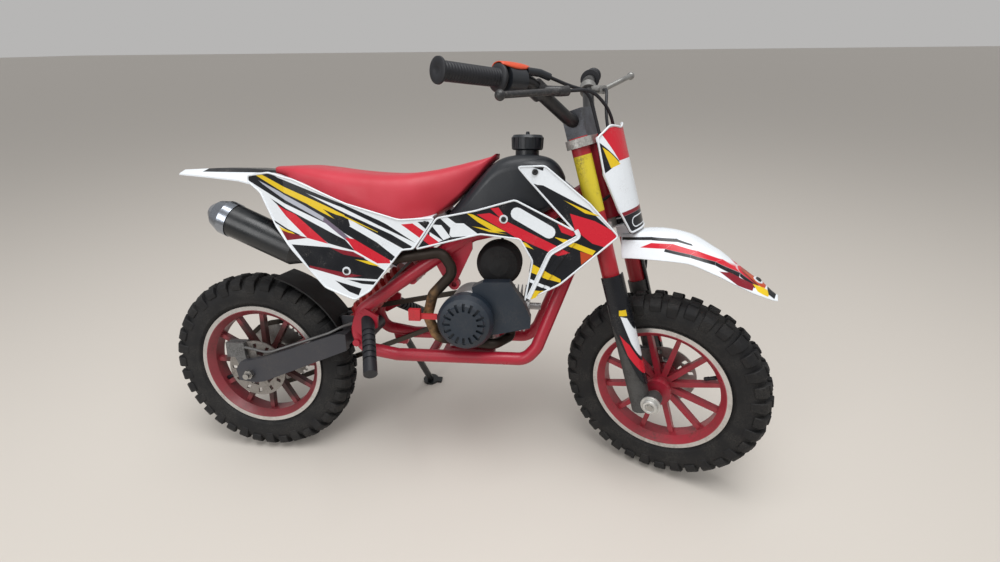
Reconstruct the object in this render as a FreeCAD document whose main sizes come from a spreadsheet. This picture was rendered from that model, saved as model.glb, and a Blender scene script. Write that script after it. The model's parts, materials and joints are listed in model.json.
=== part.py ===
import FreeCAD, Part
import Sketcher
import math
import os
from collections import namedtuple

Vector = FreeCAD.Vector
Rotation = FreeCAD.Rotation
Placement = FreeCAD.Placement

# Mini trail bike, in millimetres.
# The upright bike: +X forward from the rear axle, +Y to its left, +Z up from the ground.
# The steering frame: u forward, v left, w up along the steering axis, from the point level with the axle.
# At the end the whole bike leans on its side stand.

SIZES = [
    ("wheelbase", 850, "front axle to rear axle"),
    ("tyre_radius", 200, "axle to the top of the centre lugs"),
    ("carcass_radius", 191, "axle to the tread floor"),
    ("tyre_half_width", 32, "centre plane to the widest point of the sidewall"),
    ("bead_radius", 127, "bead seat of a 10 inch rim"),
    ("bead_half_width", 23, "centre plane to the outside of the bead"),
    ("flange_height", 7, "rim flange above the bead seat"),
    ("flange_thickness", 4, "rim flange"),
    ("barrel_radius", 113, "inside of the rim"),
    ("well_half_width", 14, "half width of the rim's inner face"),
    ("seat_gap", 0.3, "clearance between pieces that only touch"),
    ("bearing_gap", 0.05, "radial clearance of a running fit"),
    ("axle_radius", 6, "wheel axles"),
    ("axle_half_length", 84, "centre plane to the end of an axle"),
    ("hub_radius", 19, "wheel hub"),
    ("spoke_count", 12, "cast spokes"),
    ("spoke_width", 9, "cast spoke, seen from the side"),
    ("spoke_depth", 13, "cast spoke, along the axle"),
    ("disc_radius", 62, "brake disc"),
    ("disc_bore", 24, "brake disc carrier"),
    ("disc_thickness", 3, "brake disc"),
    ("disc_offset", 40, "centre plane to the middle of the disc"),
    ("chain_offset", 44, "centre plane to the middle of the chain"),
    ("chain_pitch", 12.7, "roller to roller"),
    ("sprocket_teeth", 36, "rear sprocket"),
    ("drive_teeth", 11, "engine sprocket"),
    ("sprocket_thickness", 3, "both sprockets"),
    ("roller_radius", 3.9, "chain roller"),
    ("plate_height", 10, "chain side plate"),
    ("plate_thickness", 1.2, "chain side plate"),
    ("caster_angle", 16.5, "steering axis from the vertical"),
    ("fork_offset", 24, "front axle ahead of the steering axis"),
    ("fork_spacing", 67.5, "centre plane to a fork leg"),
    ("fork_radius", 16, "upper fork tube"),
    ("slider_radius", 19.5, "lower fork tube"),
    ("steer_angle", 25.7, "bars turned to the right as it stands"),
    ("lean_angle", 12, "lean to the left on the side stand"),
    ("stem_radius", 12, "steering stem"),
    ("head_radius", 19, "head tube"),
    ("head_low", 356, "bottom of the head tube along the steering axis"),
    ("head_high", 494, "top of the head tube along the steering axis"),
    ("clamp_thickness", 15, "upper and lower triple clamp"),
    ("frame_radius", 12.5, "cradle tubes"),
    ("frame_spacing", 62, "centre plane to a cradle tube"),
    ("seat_tube_radius", 8, "rear seat tubes"),
    ("pivot_x", 240, "swingarm pivot ahead of the rear axle"),
    ("pivot_z", 285, "swingarm pivot above the ground"),
    ("pivot_radius", 7, "swingarm pivot bolt"),
    ("arm_inner", 51, "centre plane to the inside of a swingarm leg"),
    ("arm_width", 16, "swingarm leg"),
    ("crank_x", 458, "engine crankshaft ahead of the rear axle"),
    ("crank_z", 344, "engine crankshaft above the ground"),
    ("starter_radius", 53, "recoil starter cover"),
    ("starter_face", 115, "centre plane to the outside of the starter"),
    ("bar_radius", 11, "handlebar tube"),
    ("grip_radius", 17, "rubber grip"),
    ("grip_length", 116, "rubber grip"),
    ("muffler_radius", 31, "silencer body"),
    ("header_radius", 10, "exhaust pipe"),
    ("panel_thickness", 3, "moulded plastics"),
    ("cap_radius", 30, "fuel cap"),
    ("cable_radius", 2.8, "brake and throttle cables"),
    ("stand_radius", 8, "side stand leg"),
    ("knuckle_radius", 11, "side stand's round head"),
    ("knuckle_length", 14, "side stand's head along its bolt"),
    ("bolt_radius", 5, "side stand's pivot bolt"),
    ("stand_x", 288, "side stand pivot ahead of the rear axle"),
    ("stand_y", 84, "centre plane to the side stand pivot"),
    ("stand_z", 238, "side stand pivot above the ground"),
    ("stand_foot_x", 306, "side stand foot ahead of the rear axle"),
    ("stand_foot_y", 238, "centre plane to the side stand foot"),
]

doc = FreeCAD.newDocument("MiniTrailBike")
sheet = doc.addObject("Spreadsheet::Sheet", "Sizes")
for row, (alias, number, note) in enumerate(SIZES, start=1):
    sheet.set(f"A{row}", note)
    sheet.set(f"B{row}", str(number))
    sheet.setAlias(f"B{row}", alias)
doc.recompute()


class Size:
    """A number from the sheet together with the expression that binds a property to it."""

    def __init__(self, value, text):
        self.value = float(value)
        self.text = text

    def __float__(self):
        return self.value

    def __add__(self, other):
        return Size(self.value + float(other), f"({self.text} + {words(other)})")

    def __sub__(self, other):
        return Size(self.value - float(other), f"({self.text} - {words(other)})")

    def __mul__(self, other):
        return Size(self.value * float(other), f"({self.text} * {words(other)})")

    def __truediv__(self, other):
        return Size(self.value / float(other), f"({self.text} / {words(other)})")

    def __radd__(self, other):
        return Size(float(other) + self.value, f"({words(other)} + {self.text})")

    def __rsub__(self, other):
        return Size(float(other) - self.value, f"({words(other)} - {self.text})")

    def __rmul__(self, other):
        return self * other

    def __neg__(self):
        return Size(-self.value, f"(0 - {self.text})")


def words(value):
    return value.text if isinstance(value, Size) else repr(float(value))


class Sheet:
    """Reads a named size: S.wheelbase."""

    def __getattr__(self, alias):
        return Size(sheet.get(alias), f"Sizes.{alias}")


S = Sheet()


def span(one, other):
    """Two values in rising order."""
    return sorted((one, other), key=float)


def vec(x, y, z):
    return Vector(float(x), float(y), float(z))


def bind(obj, **values):
    """Sets properties and ties those that come from the sheet to it."""
    for name, value in values.items():
        setattr(obj, name, float(value))
        if isinstance(value, Size):
            obj.setExpression(name, value.text)


def move_to(obj, x, y, z, rotation=None):
    """Places a primitive and ties its position to the sheet."""
    obj.Placement = Placement(vec(x, y, z), rotation or Rotation())
    for axis, value in zip("xyz", (x, y, z)):
        if isinstance(value, Size):
            obj.setExpression(f"Placement.Base.{axis}", value.text)
    return obj


ALONG_Y = Rotation(Vector(1, 0, 0), -90)
ALONG_X = Rotation(Vector(0, 1, 0), 90)


def rod_y(name, radius, y_from, y_to, x=0, z=0):
    """A cylinder along the Y axis from y_from to y_to."""
    obj = doc.addObject("Part::Cylinder", name)
    bind(obj, Radius=radius, Height=y_to - y_from)
    return move_to(obj, x, y_from, z, ALONG_Y)


def rod_z(name, radius, z_from, z_to, x=0, y=0):
    obj = doc.addObject("Part::Cylinder", name)
    bind(obj, Radius=radius, Height=z_to - z_from)
    return move_to(obj, x, y, z_from)


def block(name, low, high):
    """A box between two corners."""
    obj = doc.addObject("Part::Box", name)
    bind(obj, Length=high[0] - low[0], Width=high[1] - low[1], Height=high[2] - low[2])
    return move_to(obj, *low)


def hexagon_y(name, radius, y_from, y_to, x=0, z=0):
    """A hexagon nut along the Y axis."""
    obj = doc.addObject("Part::Prism", name)
    obj.Polygon = 6
    bind(obj, Circumradius=radius, Height=y_to - y_from)
    return move_to(obj, x, y_from, z, ALONG_Y)


def fuse(name, parts):
    obj = doc.addObject("Part::MultiFuse", name)
    obj.Shapes = parts
    return obj


def cut(name, base, tool):
    obj = doc.addObject("Part::Cut", name)
    obj.Base = base
    obj.Tool = tool
    return obj


def common(name, base, tool):
    obj = doc.addObject("Part::MultiCommon", name)
    obj.Shapes = [base, tool]
    return obj


def together(name, parts):
    """Pieces of one node that need not touch."""
    obj = doc.addObject("Part::Compound", name)
    obj.Links = parts
    return obj


def feature(name, shape):
    obj = doc.addObject("Part::Feature", name)
    obj.Shape = shape
    return obj


def sketch_on(body, name, role):
    sketch = body.newObject("Sketcher::SketchObject", name)
    plane = next(f for f in body.Origin.OriginFeatures if f.Role == role)
    sketch.AttachmentSupport = [(plane, "")]
    sketch.MapMode = "FlatFace"
    return sketch


def pin_point(sketch, line, end, x, y):
    """Fixes one end of a line at distances from the sketch's origin."""
    for kind, value in (("DistanceX", x), ("DistanceY", y)):
        rule = Sketcher.Constraint(kind, -1, 1, line, end, float(value))
        index = sketch.addConstraint(rule)
        if isinstance(value, Size):
            sketch.setExpression(f"Constraints[{index}]", value.text)


def draw_loop(sketch, corners):
    """Draws a closed outline of straight lines whose corners are tied to the sheet."""
    first = sketch.GeometryCount
    count = len(corners)
    for i, (x, y) in enumerate(corners):
        nx, ny = corners[(i + 1) % count]
        sketch.addGeometry(Part.LineSegment(vec(x, y, 0), vec(nx, ny, 0)), False)
    for i, (x, y) in enumerate(corners):
        after = first + (i + 1) % count
        sketch.addConstraint(Sketcher.Constraint("Coincident", first + i, 2, after, 1))
        pin_point(sketch, first + i, 1, x, y)


def turned(name, profile):
    """A body turned about the Y axis from a profile of (along, radius) corners."""
    body = doc.addObject("PartDesign::Body", name)
    sketch = sketch_on(body, name + "_profile", "YZ_Plane")
    draw_loop(sketch, profile)
    turn = body.newObject("PartDesign::Revolution", name + "_turn")
    turn.Profile = sketch
    turn.ReferenceAxis = (sketch, ["H_Axis"])
    turn.Angle = 360
    return body


def sawn(name, role, outline, low, high):
    """A flat plate: an outline on a plane, padded from low to high along the plane's normal."""
    body = doc.addObject("PartDesign::Body", name)
    sketch = sketch_on(body, name + "_outline", role)
    sketch.AttachmentOffset = Placement(vec(0, 0, low), Rotation())
    if isinstance(low, Size):
        sketch.setExpression("AttachmentOffset.Base.z", low.text)
    draw_loop(sketch, outline)
    pad = body.newObject("PartDesign::Pad", name + "_pad")
    pad.Profile = sketch
    bind(pad, Length=high - low)
    return body


def route(points, radii):
    """A wire of straight runs joined by tangent arcs."""
    edges = []
    here = points[0]
    for i in range(1, len(points) - 1):
        back = (points[i - 1] - points[i]).normalize()
        ahead = (points[i + 1] - points[i]).normalize()
        angle = back.getAngle(ahead)
        reach = radii[i - 1] / math.tan(angle / 2)
        start = points[i] + back * reach
        stop = points[i] + ahead * reach
        middle_way = (back + ahead).normalize()
        middle = points[i] + middle_way * (radii[i - 1] / math.sin(angle / 2) - radii[i - 1])
        if (start - here).Length > 1e-6:
            edges.append(Part.LineSegment(here, start).toShape())
        edges.append(Part.Arc(start, middle, stop).toShape())
        here = stop
    edges.append(Part.LineSegment(here, points[-1]).toShape())
    return Part.Wire(edges)


def bend_radius(points, i, share=0.45):
    """The largest comfortable bend at a point, from the shorter of its two runs."""
    back = points[i - 1] - points[i]
    ahead = points[i + 1] - points[i]
    half_turn = (math.pi - back.getAngle(ahead)) / 2
    return share * min(back.Length, ahead.Length) / math.tan(half_turn)


def tube_shape(points, radius, bends=None):
    """A round bar along a route. Bends are one radius for all corners, or the largest that fit."""
    points = [vec(*p) for p in points]
    corners = range(1, len(points) - 1)
    radii = []
    for i in corners:
        widest = bend_radius(points, i)
        radii.append(widest if bends is None else min(widest, float(bends)))
    wire = route(points, radii)
    ring = Part.Wire([Part.makeCircle(float(radius), points[0], points[1] - points[0])])
    return wire.makePipeShell([ring], True, False)


def outline_wire(corners, y):
    """A closed line outline in the plane of constant y."""
    points = [vec(x, y, z) for x, z in corners]
    return Part.makePolygon(points + [points[0]])


def prism_y(corners, y_from, y_to):
    face = Part.Face(outline_wire(corners, y_from))
    return face.extrude(vec(0, float(y_to) - float(y_from), 0))


def mirrored(shape):
    """The other side's piece."""
    return shape.mirror(Vector(0, 0, 0), Vector(0, 1, 0))


def loft(wires, ruled=False):
    return Part.makeLoft(wires, True, ruled)


# The two reference frames of the upright bike.

CASTER = math.radians(float(S.caster_angle))
STEER_POINT = vec(
    float(S.wheelbase) - float(S.fork_offset) * math.cos(CASTER),
    0,
    float(S.tyre_radius) - float(S.fork_offset) * math.sin(CASTER),
)
STEER_STRAIGHT = Placement(STEER_POINT, Rotation(Vector(0, 1, 0), -float(S.caster_angle)))
STEER_TURN = Placement(Vector(), Rotation(Vector(0, 0, 1), -float(S.steer_angle)))
STEERED = STEER_STRAIGHT.multiply(STEER_TURN)
UPRIGHT = Placement()
REAR_WHEEL = Placement(vec(0, 0, S.tyre_radius), Rotation())
HUB_END = S.disc_offset - S.disc_thickness / 2 - S.seat_gap
FRONT_WHEEL = STEERED.multiply(Placement(vec(S.fork_offset, 0, 0), Rotation()))



def from_head(u, v, w):
    """A frame point given in the straight steering frame."""
    point = STEER_STRAIGHT.multVec(Vector(u, v, w))
    return point.x, point.y, point.z


NODES = []


def node(label, obj, frame=UPRIGHT):
    """Registers a finished piece with its label and the frame it is modelled in."""
    obj.Label = label
    NODES.append((obj, frame))
    return obj


# Wheels. Each is modelled about its axle, which lies along Y.

TYRE_SIDES = 30
Lug = namedtuple("Lug", "name count phase side width length tilt drop")
LUGS = [
    Lug("centre", 15, 0, 0.0, 25, 18, 0, 0.0),
    Lug("middle_left", 15, 12, 14.5, 15, 18, 13, 2.2),
    Lug("middle_right", 15, 12, -14.5, 15, 18, -13, 2.2),
    Lug("shoulder_left", 15, 0, 26.6, 13, 20, 42, 10.5),
    Lug("shoulder_right", 15, 0, -26.6, 13, 20, -42, 10.5),
]


def lug_shape(lug):
    """One tread block, its top face tilted to follow the crown, rooted in the carcass."""
    top_radius = float(S.tyre_radius) - lug.drop
    depth = float(S.tyre_radius - S.carcass_radius) + 4
    shape = Part.makeBox(lug.length, lug.width, depth)
    shape.translate(Vector(-lug.length / 2, -lug.width / 2, -depth))
    shape.rotate(Vector(), Vector(1, 0, 0), -lug.tilt)
    shape.translate(Vector(0, lug.side, top_radius))
    return shape


def faceted_ring(profile, sides):
    """A solid ring of flat facets about Y, whose flats lie at the profile's radii."""
    stretch = 1 / math.cos(math.pi / sides)
    loops = []
    for i in range(sides):
        angle = (2 * i + 1) * math.pi / sides
        across, up = math.sin(angle) * stretch, math.cos(angle) * stretch
        loops.append([Vector(float(r) * across, float(a), float(r) * up) for a, r in profile])
    faces = []
    for one, other in zip(loops, loops[1:] + loops[:1]):
        for j in range(len(profile)):
            k = (j + 1) % len(profile)
            corners = [one[j], one[k], other[k], other[j], one[j]]
            faces.append(Part.Face(Part.makePolygon(corners)))
    shell = Part.makeShell(faces)
    ring = Part.makeSolid(shell)
    if ring.Volume < 0:
        ring.reverse()
    return ring


def make_tyre_pattern():
    """Carcass of straight facets, with the rows of lugs fused on."""
    bead = S.bead_radius + S.seat_gap
    above_flange = S.bead_radius + S.flange_height + S.seat_gap
    wide = S.tyre_half_width
    half = [
        (S.bead_half_width - S.seat_gap, bead),
        (S.bead_half_width - S.seat_gap, above_flange),
        (wide - 2, above_flange + 13),
        (wide, S.carcass_radius - 22),
        (wide - 15, S.carcass_radius),
    ]
    profile = half + [(-a, r) for a, r in reversed(half)]
    carcass = faceted_ring(profile, TYRE_SIDES)
    blocks = []
    for lug in LUGS:
        shape = lug_shape(lug)
        for i in range(lug.count):
            copy = shape.copy()
            turn = lug.phase + i * 360 / lug.count
            copy.rotate(Vector(), Vector(0, 1, 0), turn)
            blocks.append(copy)
    return feature("TyrePattern", carcass.multiFuse(blocks).removeSplitter())


def make_rim(name):
    """Cast wheel: rim barrel with two flanges, twelve spokes and a bored hub."""
    flange = S.bead_radius + S.flange_height
    outer = S.bead_half_width + S.flange_thickness
    well = S.well_half_width
    half = [
        (outer, flange),
        (S.bead_half_width, flange),
        (S.bead_half_width, S.bead_radius),
        (well, S.bead_radius - 2),
        (well - 4, S.barrel_radius + 4),
    ]
    inside = [(-outer, S.bead_radius - 3), (-well, S.barrel_radius)]
    profile = half + [(-a, r) for a, r in reversed(half)]
    profile += inside + [(-a, r) for a, r in reversed(inside)]
    body = turned(name, profile)
    hub_sketch = sketch_on(body, name + "_hub_profile", "YZ_Plane")
    bore = S.axle_radius + S.bearing_gap
    length = HUB_END
    draw_loop(hub_sketch, [
        (-length, bore),
        (-length, S.hub_radius + 8),
        (8 - length, S.hub_radius + 8),
        (12 - length, S.hub_radius),
        (length - 12, S.hub_radius),
        (length - 8, S.hub_radius + 8),
        (length, S.hub_radius + 8),
        (length, bore),
    ])
    hub = body.newObject("PartDesign::Revolution", name + "_hub")
    hub.Profile = hub_sketch
    hub.ReferenceAxis = (hub_sketch, ["H_Axis"])
    hub.Angle = 360
    spoke_sketch = sketch_on(body, name + "_spoke_outline", "XZ_Plane")
    root = S.hub_radius - 3
    tip = S.barrel_radius + 2
    half_root = S.spoke_width * 0.65
    half_tip = S.spoke_width * 0.5
    draw_loop(spoke_sketch, [
        (-half_root, root),
        (-half_tip, tip),
        (half_tip, tip),
        (half_root, root),
    ])
    spoke = body.newObject("PartDesign::Pad", name + "_spoke")
    spoke.Profile = spoke_sketch
    spoke.Midplane = True
    bind(spoke, Length=S.spoke_depth)
    doc.recompute()
    ring = body.newObject("PartDesign::PolarPattern", name + "_spokes")
    ring.Originals = [spoke]
    axis = next(f for f in body.Origin.OriginFeatures if f.Role == "Y_Axis")
    ring.Axis = (axis, [""])
    ring.Angle = 360
    ring.Occurrences = int(float(S.spoke_count))
    body.Tip = ring
    return body


def make_disc(name, side):
    """Brake disc with a slotted band and arms cut out round its carrier."""
    middle = S.disc_offset * side
    half = S.disc_thickness / 2
    blank = turned(name + "Blank", [
        (middle - half, S.disc_bore),
        (middle - half, S.disc_radius),
        (middle + half, S.disc_radius),
        (middle + half, S.disc_bore),
    ])
    y0, y1 = float(middle) - 10, float(middle) + 10
    band = float(S.disc_radius)
    slot = [(-3.5, band - 17), (-3.5, band - 7), (3.5, band - 5), (3.5, band - 15)]
    window = [(-9, band - 23), (9, band - 23), (6, float(S.disc_bore) + 5), (-6, float(S.disc_bore) + 5)]
    holes = []
    for outline, count, phase in ((slot, 12, 0), (window, 6, 15)):
        hole = prism_y(outline, y0, y1)
        for i in range(count):
            copy = hole.copy()
            copy.rotate(Vector(), Vector(0, 1, 0), phase + i * 360 / count)
            holes.append(copy)
    return cut(name, blank, feature(name + "Holes", Part.makeCompound(holes)))


def sprocket_shape(teeth, phase, bore):
    """A toothed wheel whose gullets are a little wider than the chain's rollers."""
    pitch = float(S.chain_pitch)
    roller = float(S.roller_radius)
    thickness = float(S.sprocket_thickness)
    pitch_radius = pitch / (2 * math.sin(math.pi / teeth))
    outer = pitch_radius + roller * 0.75
    blank = Part.makeCylinder(outer, thickness, Vector(0, -thickness / 2, 0), Vector(0, 1, 0))
    tools = []
    for i in range(teeth):
        angle = phase + 2 * math.pi * i / teeth
        centre = Vector(pitch_radius * math.cos(angle), 0, pitch_radius * math.sin(angle))
        tools.append(gullet(centre, angle, roller + 0.35, thickness))
    hole = Part.makeCylinder(bore, thickness * 3, Vector(0, -thickness * 1.5, 0), Vector(0, 1, 0))
    return blank.cut(tools + [hole])


def gullet(centre, angle, radius, thickness):
    """A six sided notch round a roller, open to the outside."""
    out = Vector(math.cos(angle), 0, math.sin(angle))
    across = Vector(-math.sin(angle), 0, math.cos(angle))
    corners = [(-1.0, -0.55), (-0.45, -1.05), (0.45, -1.05), (1.0, -0.55), (1.25, 1.6), (-1.25, 1.6)]
    points = []
    for a, r in corners:
        points.append(centre + across * (a * radius) + out * (r * radius) - Vector(0, thickness, 0))
    face = Part.Face(Part.makePolygon(points + [points[0]]))
    return face.extrude(Vector(0, 2 * thickness, 0))


def pitch_radius_of(teeth):
    return float(S.chain_pitch) / (2 * math.sin(math.pi / int(float(teeth))))


# The chain loop lies in the plane of the two sprockets.

REAR_PITCH = pitch_radius_of(S.sprocket_teeth)
DRIVE_PITCH = pitch_radius_of(S.drive_teeth)
REAR_STEP = 2 * math.pi / float(S.sprocket_teeth)
DRIVE_STEP = 2 * math.pi / float(S.drive_teeth)


def chain_links(distance):
    """Links round both sprockets, one to each tooth they touch."""
    slope = math.asin((REAR_PITCH - DRIVE_PITCH) / distance)
    straight = 2 * distance * math.cos(slope) / float(S.chain_pitch)
    return straight + (math.pi + 2 * slope) / REAR_STEP + (math.pi - 2 * slope) / DRIVE_STEP


def solve_engine():
    """Slides the engine along its line from the rear axle until the links come out even."""
    line = vec(S.crank_x, 0, S.crank_z) - vec(0, 0, S.tyre_radius)
    links = 2 * round(chain_links(line.Length) / 2)
    distance = line.Length
    for _ in range(30):
        distance += (links - chain_links(distance)) * float(S.chain_pitch) / 2
    direction = Vector(line).normalize()
    crank = vec(0, 0, S.tyre_radius) + direction * distance
    return crank, distance, links


CRANK, CHAIN_DISTANCE, LINKS = solve_engine()


CHAIN_TILT = math.atan2(CRANK.z - float(S.tyre_radius), CRANK.x)
CHAIN_START = math.pi / 2 - math.asin((REAR_PITCH - DRIVE_PITCH) / CHAIN_DISTANCE)
CHAIN_RUN = CHAIN_DISTANCE * math.sin(CHAIN_START) / float(S.chain_pitch)
REAR_PHASE = CHAIN_TILT + CHAIN_START
DRIVE_PHASE = CHAIN_TILT + CHAIN_START - (math.ceil(CHAIN_RUN) - CHAIN_RUN) * DRIVE_STEP


DRIVE_JOINTS = (math.floor(CHAIN_RUN) - 1, math.ceil(CHAIN_RUN + 2 * CHAIN_START / DRIVE_STEP) + 1)


def chain_points():
    """Roller centres along the loop, starting where the upper run leaves the rear sprocket."""
    tilt = CHAIN_TILT
    start = CHAIN_START
    drive_wrap = 2 * start / DRIVE_STEP
    points = []
    for i in range(LINKS):
        if i < CHAIN_RUN:
            share = i / CHAIN_RUN
            radius = REAR_PITCH + (DRIVE_PITCH - REAR_PITCH) * share
            x = CHAIN_DISTANCE * share + radius * math.cos(start)
            z = radius * math.sin(start)
        elif i < CHAIN_RUN + drive_wrap:
            angle = start - (i - CHAIN_RUN) * DRIVE_STEP
            x = CHAIN_DISTANCE + DRIVE_PITCH * math.cos(angle)
            z = DRIVE_PITCH * math.sin(angle)
        elif i < 2 * CHAIN_RUN + drive_wrap:
            share = (i - CHAIN_RUN - drive_wrap) / CHAIN_RUN
            radius = DRIVE_PITCH + (REAR_PITCH - DRIVE_PITCH) * share
            x = CHAIN_DISTANCE * (1 - share) + radius * math.cos(start)
            z = -radius * math.sin(start)
        else:
            angle = -start - (i - 2 * CHAIN_RUN - drive_wrap) * REAR_STEP
            x = REAR_PITCH * math.cos(angle)
            z = REAR_PITCH * math.sin(angle)
        points.append(Vector(
            x * math.cos(tilt) - z * math.sin(tilt),
            0,
            x * math.sin(tilt) + z * math.cos(tilt) + float(S.tyre_radius),
        ))
    return points


def side_plates(points, half_height, y_from, y_to):
    """A closed band of side plates through the roller centres."""
    outer = []
    inner = []
    count = len(points)
    for i, point in enumerate(points):
        ahead = (points[(i + 1) % count] - point).normalize()
        behind = (point - points[i - 1]).normalize()
        if ahead.getAngle(behind) < 1e-4:
            continue
        tangent = (ahead + behind).normalize()
        normal = Vector(-tangent.z, 0, tangent.x)
        outer.append(point + normal * half_height)
        inner.append(point - normal * half_height)
    whole = Part.Face(Part.makePolygon(outer + [outer[0]])).extrude(Vector(0, y_to - y_from, 0))
    middle = Part.Face(Part.makePolygon(inner + [inner[0]])).extrude(Vector(0, y_to - y_from, 0))
    if middle.Volume > whole.Volume:
        whole, middle = middle, whole
    band = whole.cut(middle)
    band.translate(Vector(0, y_from, 0))
    return band


def make_chain():
    """Two bands of side plates with a roller in every joint."""
    points = chain_points()
    y = float(S.chain_offset)
    inside = float(S.sprocket_thickness) / 2 + 0.8
    outside = inside + float(S.plate_thickness)
    half = float(S.plate_height) / 2
    joints = [p for i, p in enumerate(points) if i % 2 == 0 or DRIVE_JOINTS[0] < i < DRIVE_JOINTS[1]]
    bands = [side_plates(joints, half, y + a, y + b) for a, b in ((-outside, -inside), (inside, outside))]
    rollers = []
    for i, point in enumerate(points):
        before = points[i - 1]
        after = points[(i + 1) % len(points)]
        radius = float(S.roller_radius) - 0.6
        rollers.append(roller(point, (after - before).normalize(), radius, y - inside, y + inside))
    return feature("Chain", bands[0].multiFuse([bands[1]] + rollers))


def roller(centre, tangent, radius, y_from, y_to):
    """A three sided roller, plain for the count of its faces."""
    normal = Vector(-tangent.z, 0, tangent.x)
    corners = [tangent * a + normal * b for a, b in ((-0.87, -0.5), (0.87, -0.5), (0, 1))]
    points = [centre + c * radius + Vector(0, y_from, 0) for c in corners]
    face = Part.Face(Part.makePolygon(points + [points[0]]))
    return face.extrude(Vector(0, y_to - y_from, 0))


# Frame.

CRADLE = [
    from_head(-5, 3, 388),
    from_head(-46, 8, 355),
    from_head(-85, 34, 303),
    (594, float(S.frame_spacing), 286),
    (573, float(S.frame_spacing), 261),
    (318, float(S.frame_spacing), 258),
    (251, float(S.frame_spacing), 269),
    (237, float(S.frame_spacing), 303),
    (249, float(S.frame_spacing), 348),
    (326, float(S.frame_spacing), 405),
    (425, float(S.frame_spacing), 474),
    (470, float(S.frame_spacing) - 8, 502),
    from_head(-122, 34, 388),
    from_head(-5, 3, 428),
]
TOP_RAIL = CRADLE[9:]
SEAT_TUBE = [(408, 52, 462), (330, 44, 490), (235, 42, 530), (100, 42, 566)]


def both_sides(points):
    left = [tuple(p) for p in points]
    right = [(x, -y, z) for x, y, z in points]
    return left, right


SHOCK_LOW = (200, 306)
SHOCK_HIGH = (337, 430)
SHOCK_TUBE = (353, 413)
GUSSET_EYE = (436, 409)
SHOCK_LUG = [(324, 430), (338, 443), (362, 416), (358, 404), (344, 406)]


def make_frame():
    parts = []
    for i, side in enumerate(both_sides(CRADLE)):
        bends = 34
        parts.append(feature(f"Cradle{i}", tube_shape(side, S.frame_radius, bends)))
    for i, side in enumerate(both_sides(SEAT_TUBE)):
        parts.append(feature(f"SeatTube{i}", tube_shape(side, S.seat_tube_radius, 60)))
    straight = STEER_STRAIGHT
    head = Part.makeCylinder(float(S.head_radius), float(S.head_high) - float(S.head_low))
    head.translate(vec(0, 0, S.head_low))
    head.Placement = straight.multiply(head.Placement)
    parts.append(feature("HeadTube", head))
    inner = S.frame_spacing
    parts.append(rod_y("PivotBolt", S.pivot_radius, -inner - 18, inner + 18, S.pivot_x, S.pivot_z))
    parts.append(rod_y("ShockTube", 9, -inner, inner, *SHOCK_TUBE))
    parts.append(rod_y("SeatCrossTube", S.seat_tube_radius, -42, 42, 100, 566))
    parts.append(rod_y("RearCrossTube", 9, -inner, inner, 385, 259))
    parts.append(block("EnginePlate", (410, -inner, 266), (512, inner, 272)))
    for side in (-1, 1):
        y0, y1 = span(side * (12 + float(S.seat_gap)), side * 17)
        parts.append(feature(f"ShockLug{side + 1}", prism_y(SHOCK_LUG, y0, y1)))
    for side in (-1, 1):
        parts.append(feature(f"PegBracket{side + 1}", prism_y(
            [(232, 316), (252, 300), (284, 318), (286, 342), (262, 356), (240, 340)],
            side * (float(inner) + 9), side * (float(inner) + 15))))
    parts.append(feature("StandBracket", prism_y(
        [(268, 262), (308, 262), (300, 230), (276, 230)], float(inner) - 3, S.stand_y - S.knuckle_radius - S.seat_gap)))
    parts.append(feature("EngineGusset", prism_y(
        [(398, 452), (470, 494), (470, 476), (436, 404), (424, 404)], -float(inner) - 4, -float(inner) + 4)))
    outside = -float(inner) - 9
    parts.append(rod_y("GussetEye", 10, outside, -inner + 8, *GUSSET_EYE))
    parts.append(feature("StandBolt", stand_bolt()))
    whole = fuse("FrameTubes", parts)
    bore = Part.makeCylinder(float(S.stem_radius + S.bearing_gap), float(S.head_high))
    bore.translate(vec(0, 0, S.head_low - 60))
    bore.Placement = straight.multiply(bore.Placement)
    eye = Part.makeCylinder(5, 8, vec(GUSSET_EYE[0], outside, GUSSET_EYE[1]), Vector(0, 1, 0))
    return cut("Frame", whole, feature("FrameBores", Part.makeCompound([bore, eye])))


def stand_bolt():
    """The side stand's pivot bolt, square to its leg, with a round head."""
    pivot, axis = stand_pivot()
    bolt = Part.makeCylinder(float(S.bolt_radius), 18 + HEAD_SEAT, pivot - axis * 18, axis)
    head = Part.makeCylinder(float(S.bolt_radius) + 3.5, 4, pivot + axis * HEAD_SEAT, axis)
    return bolt.fuse(head)


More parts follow.
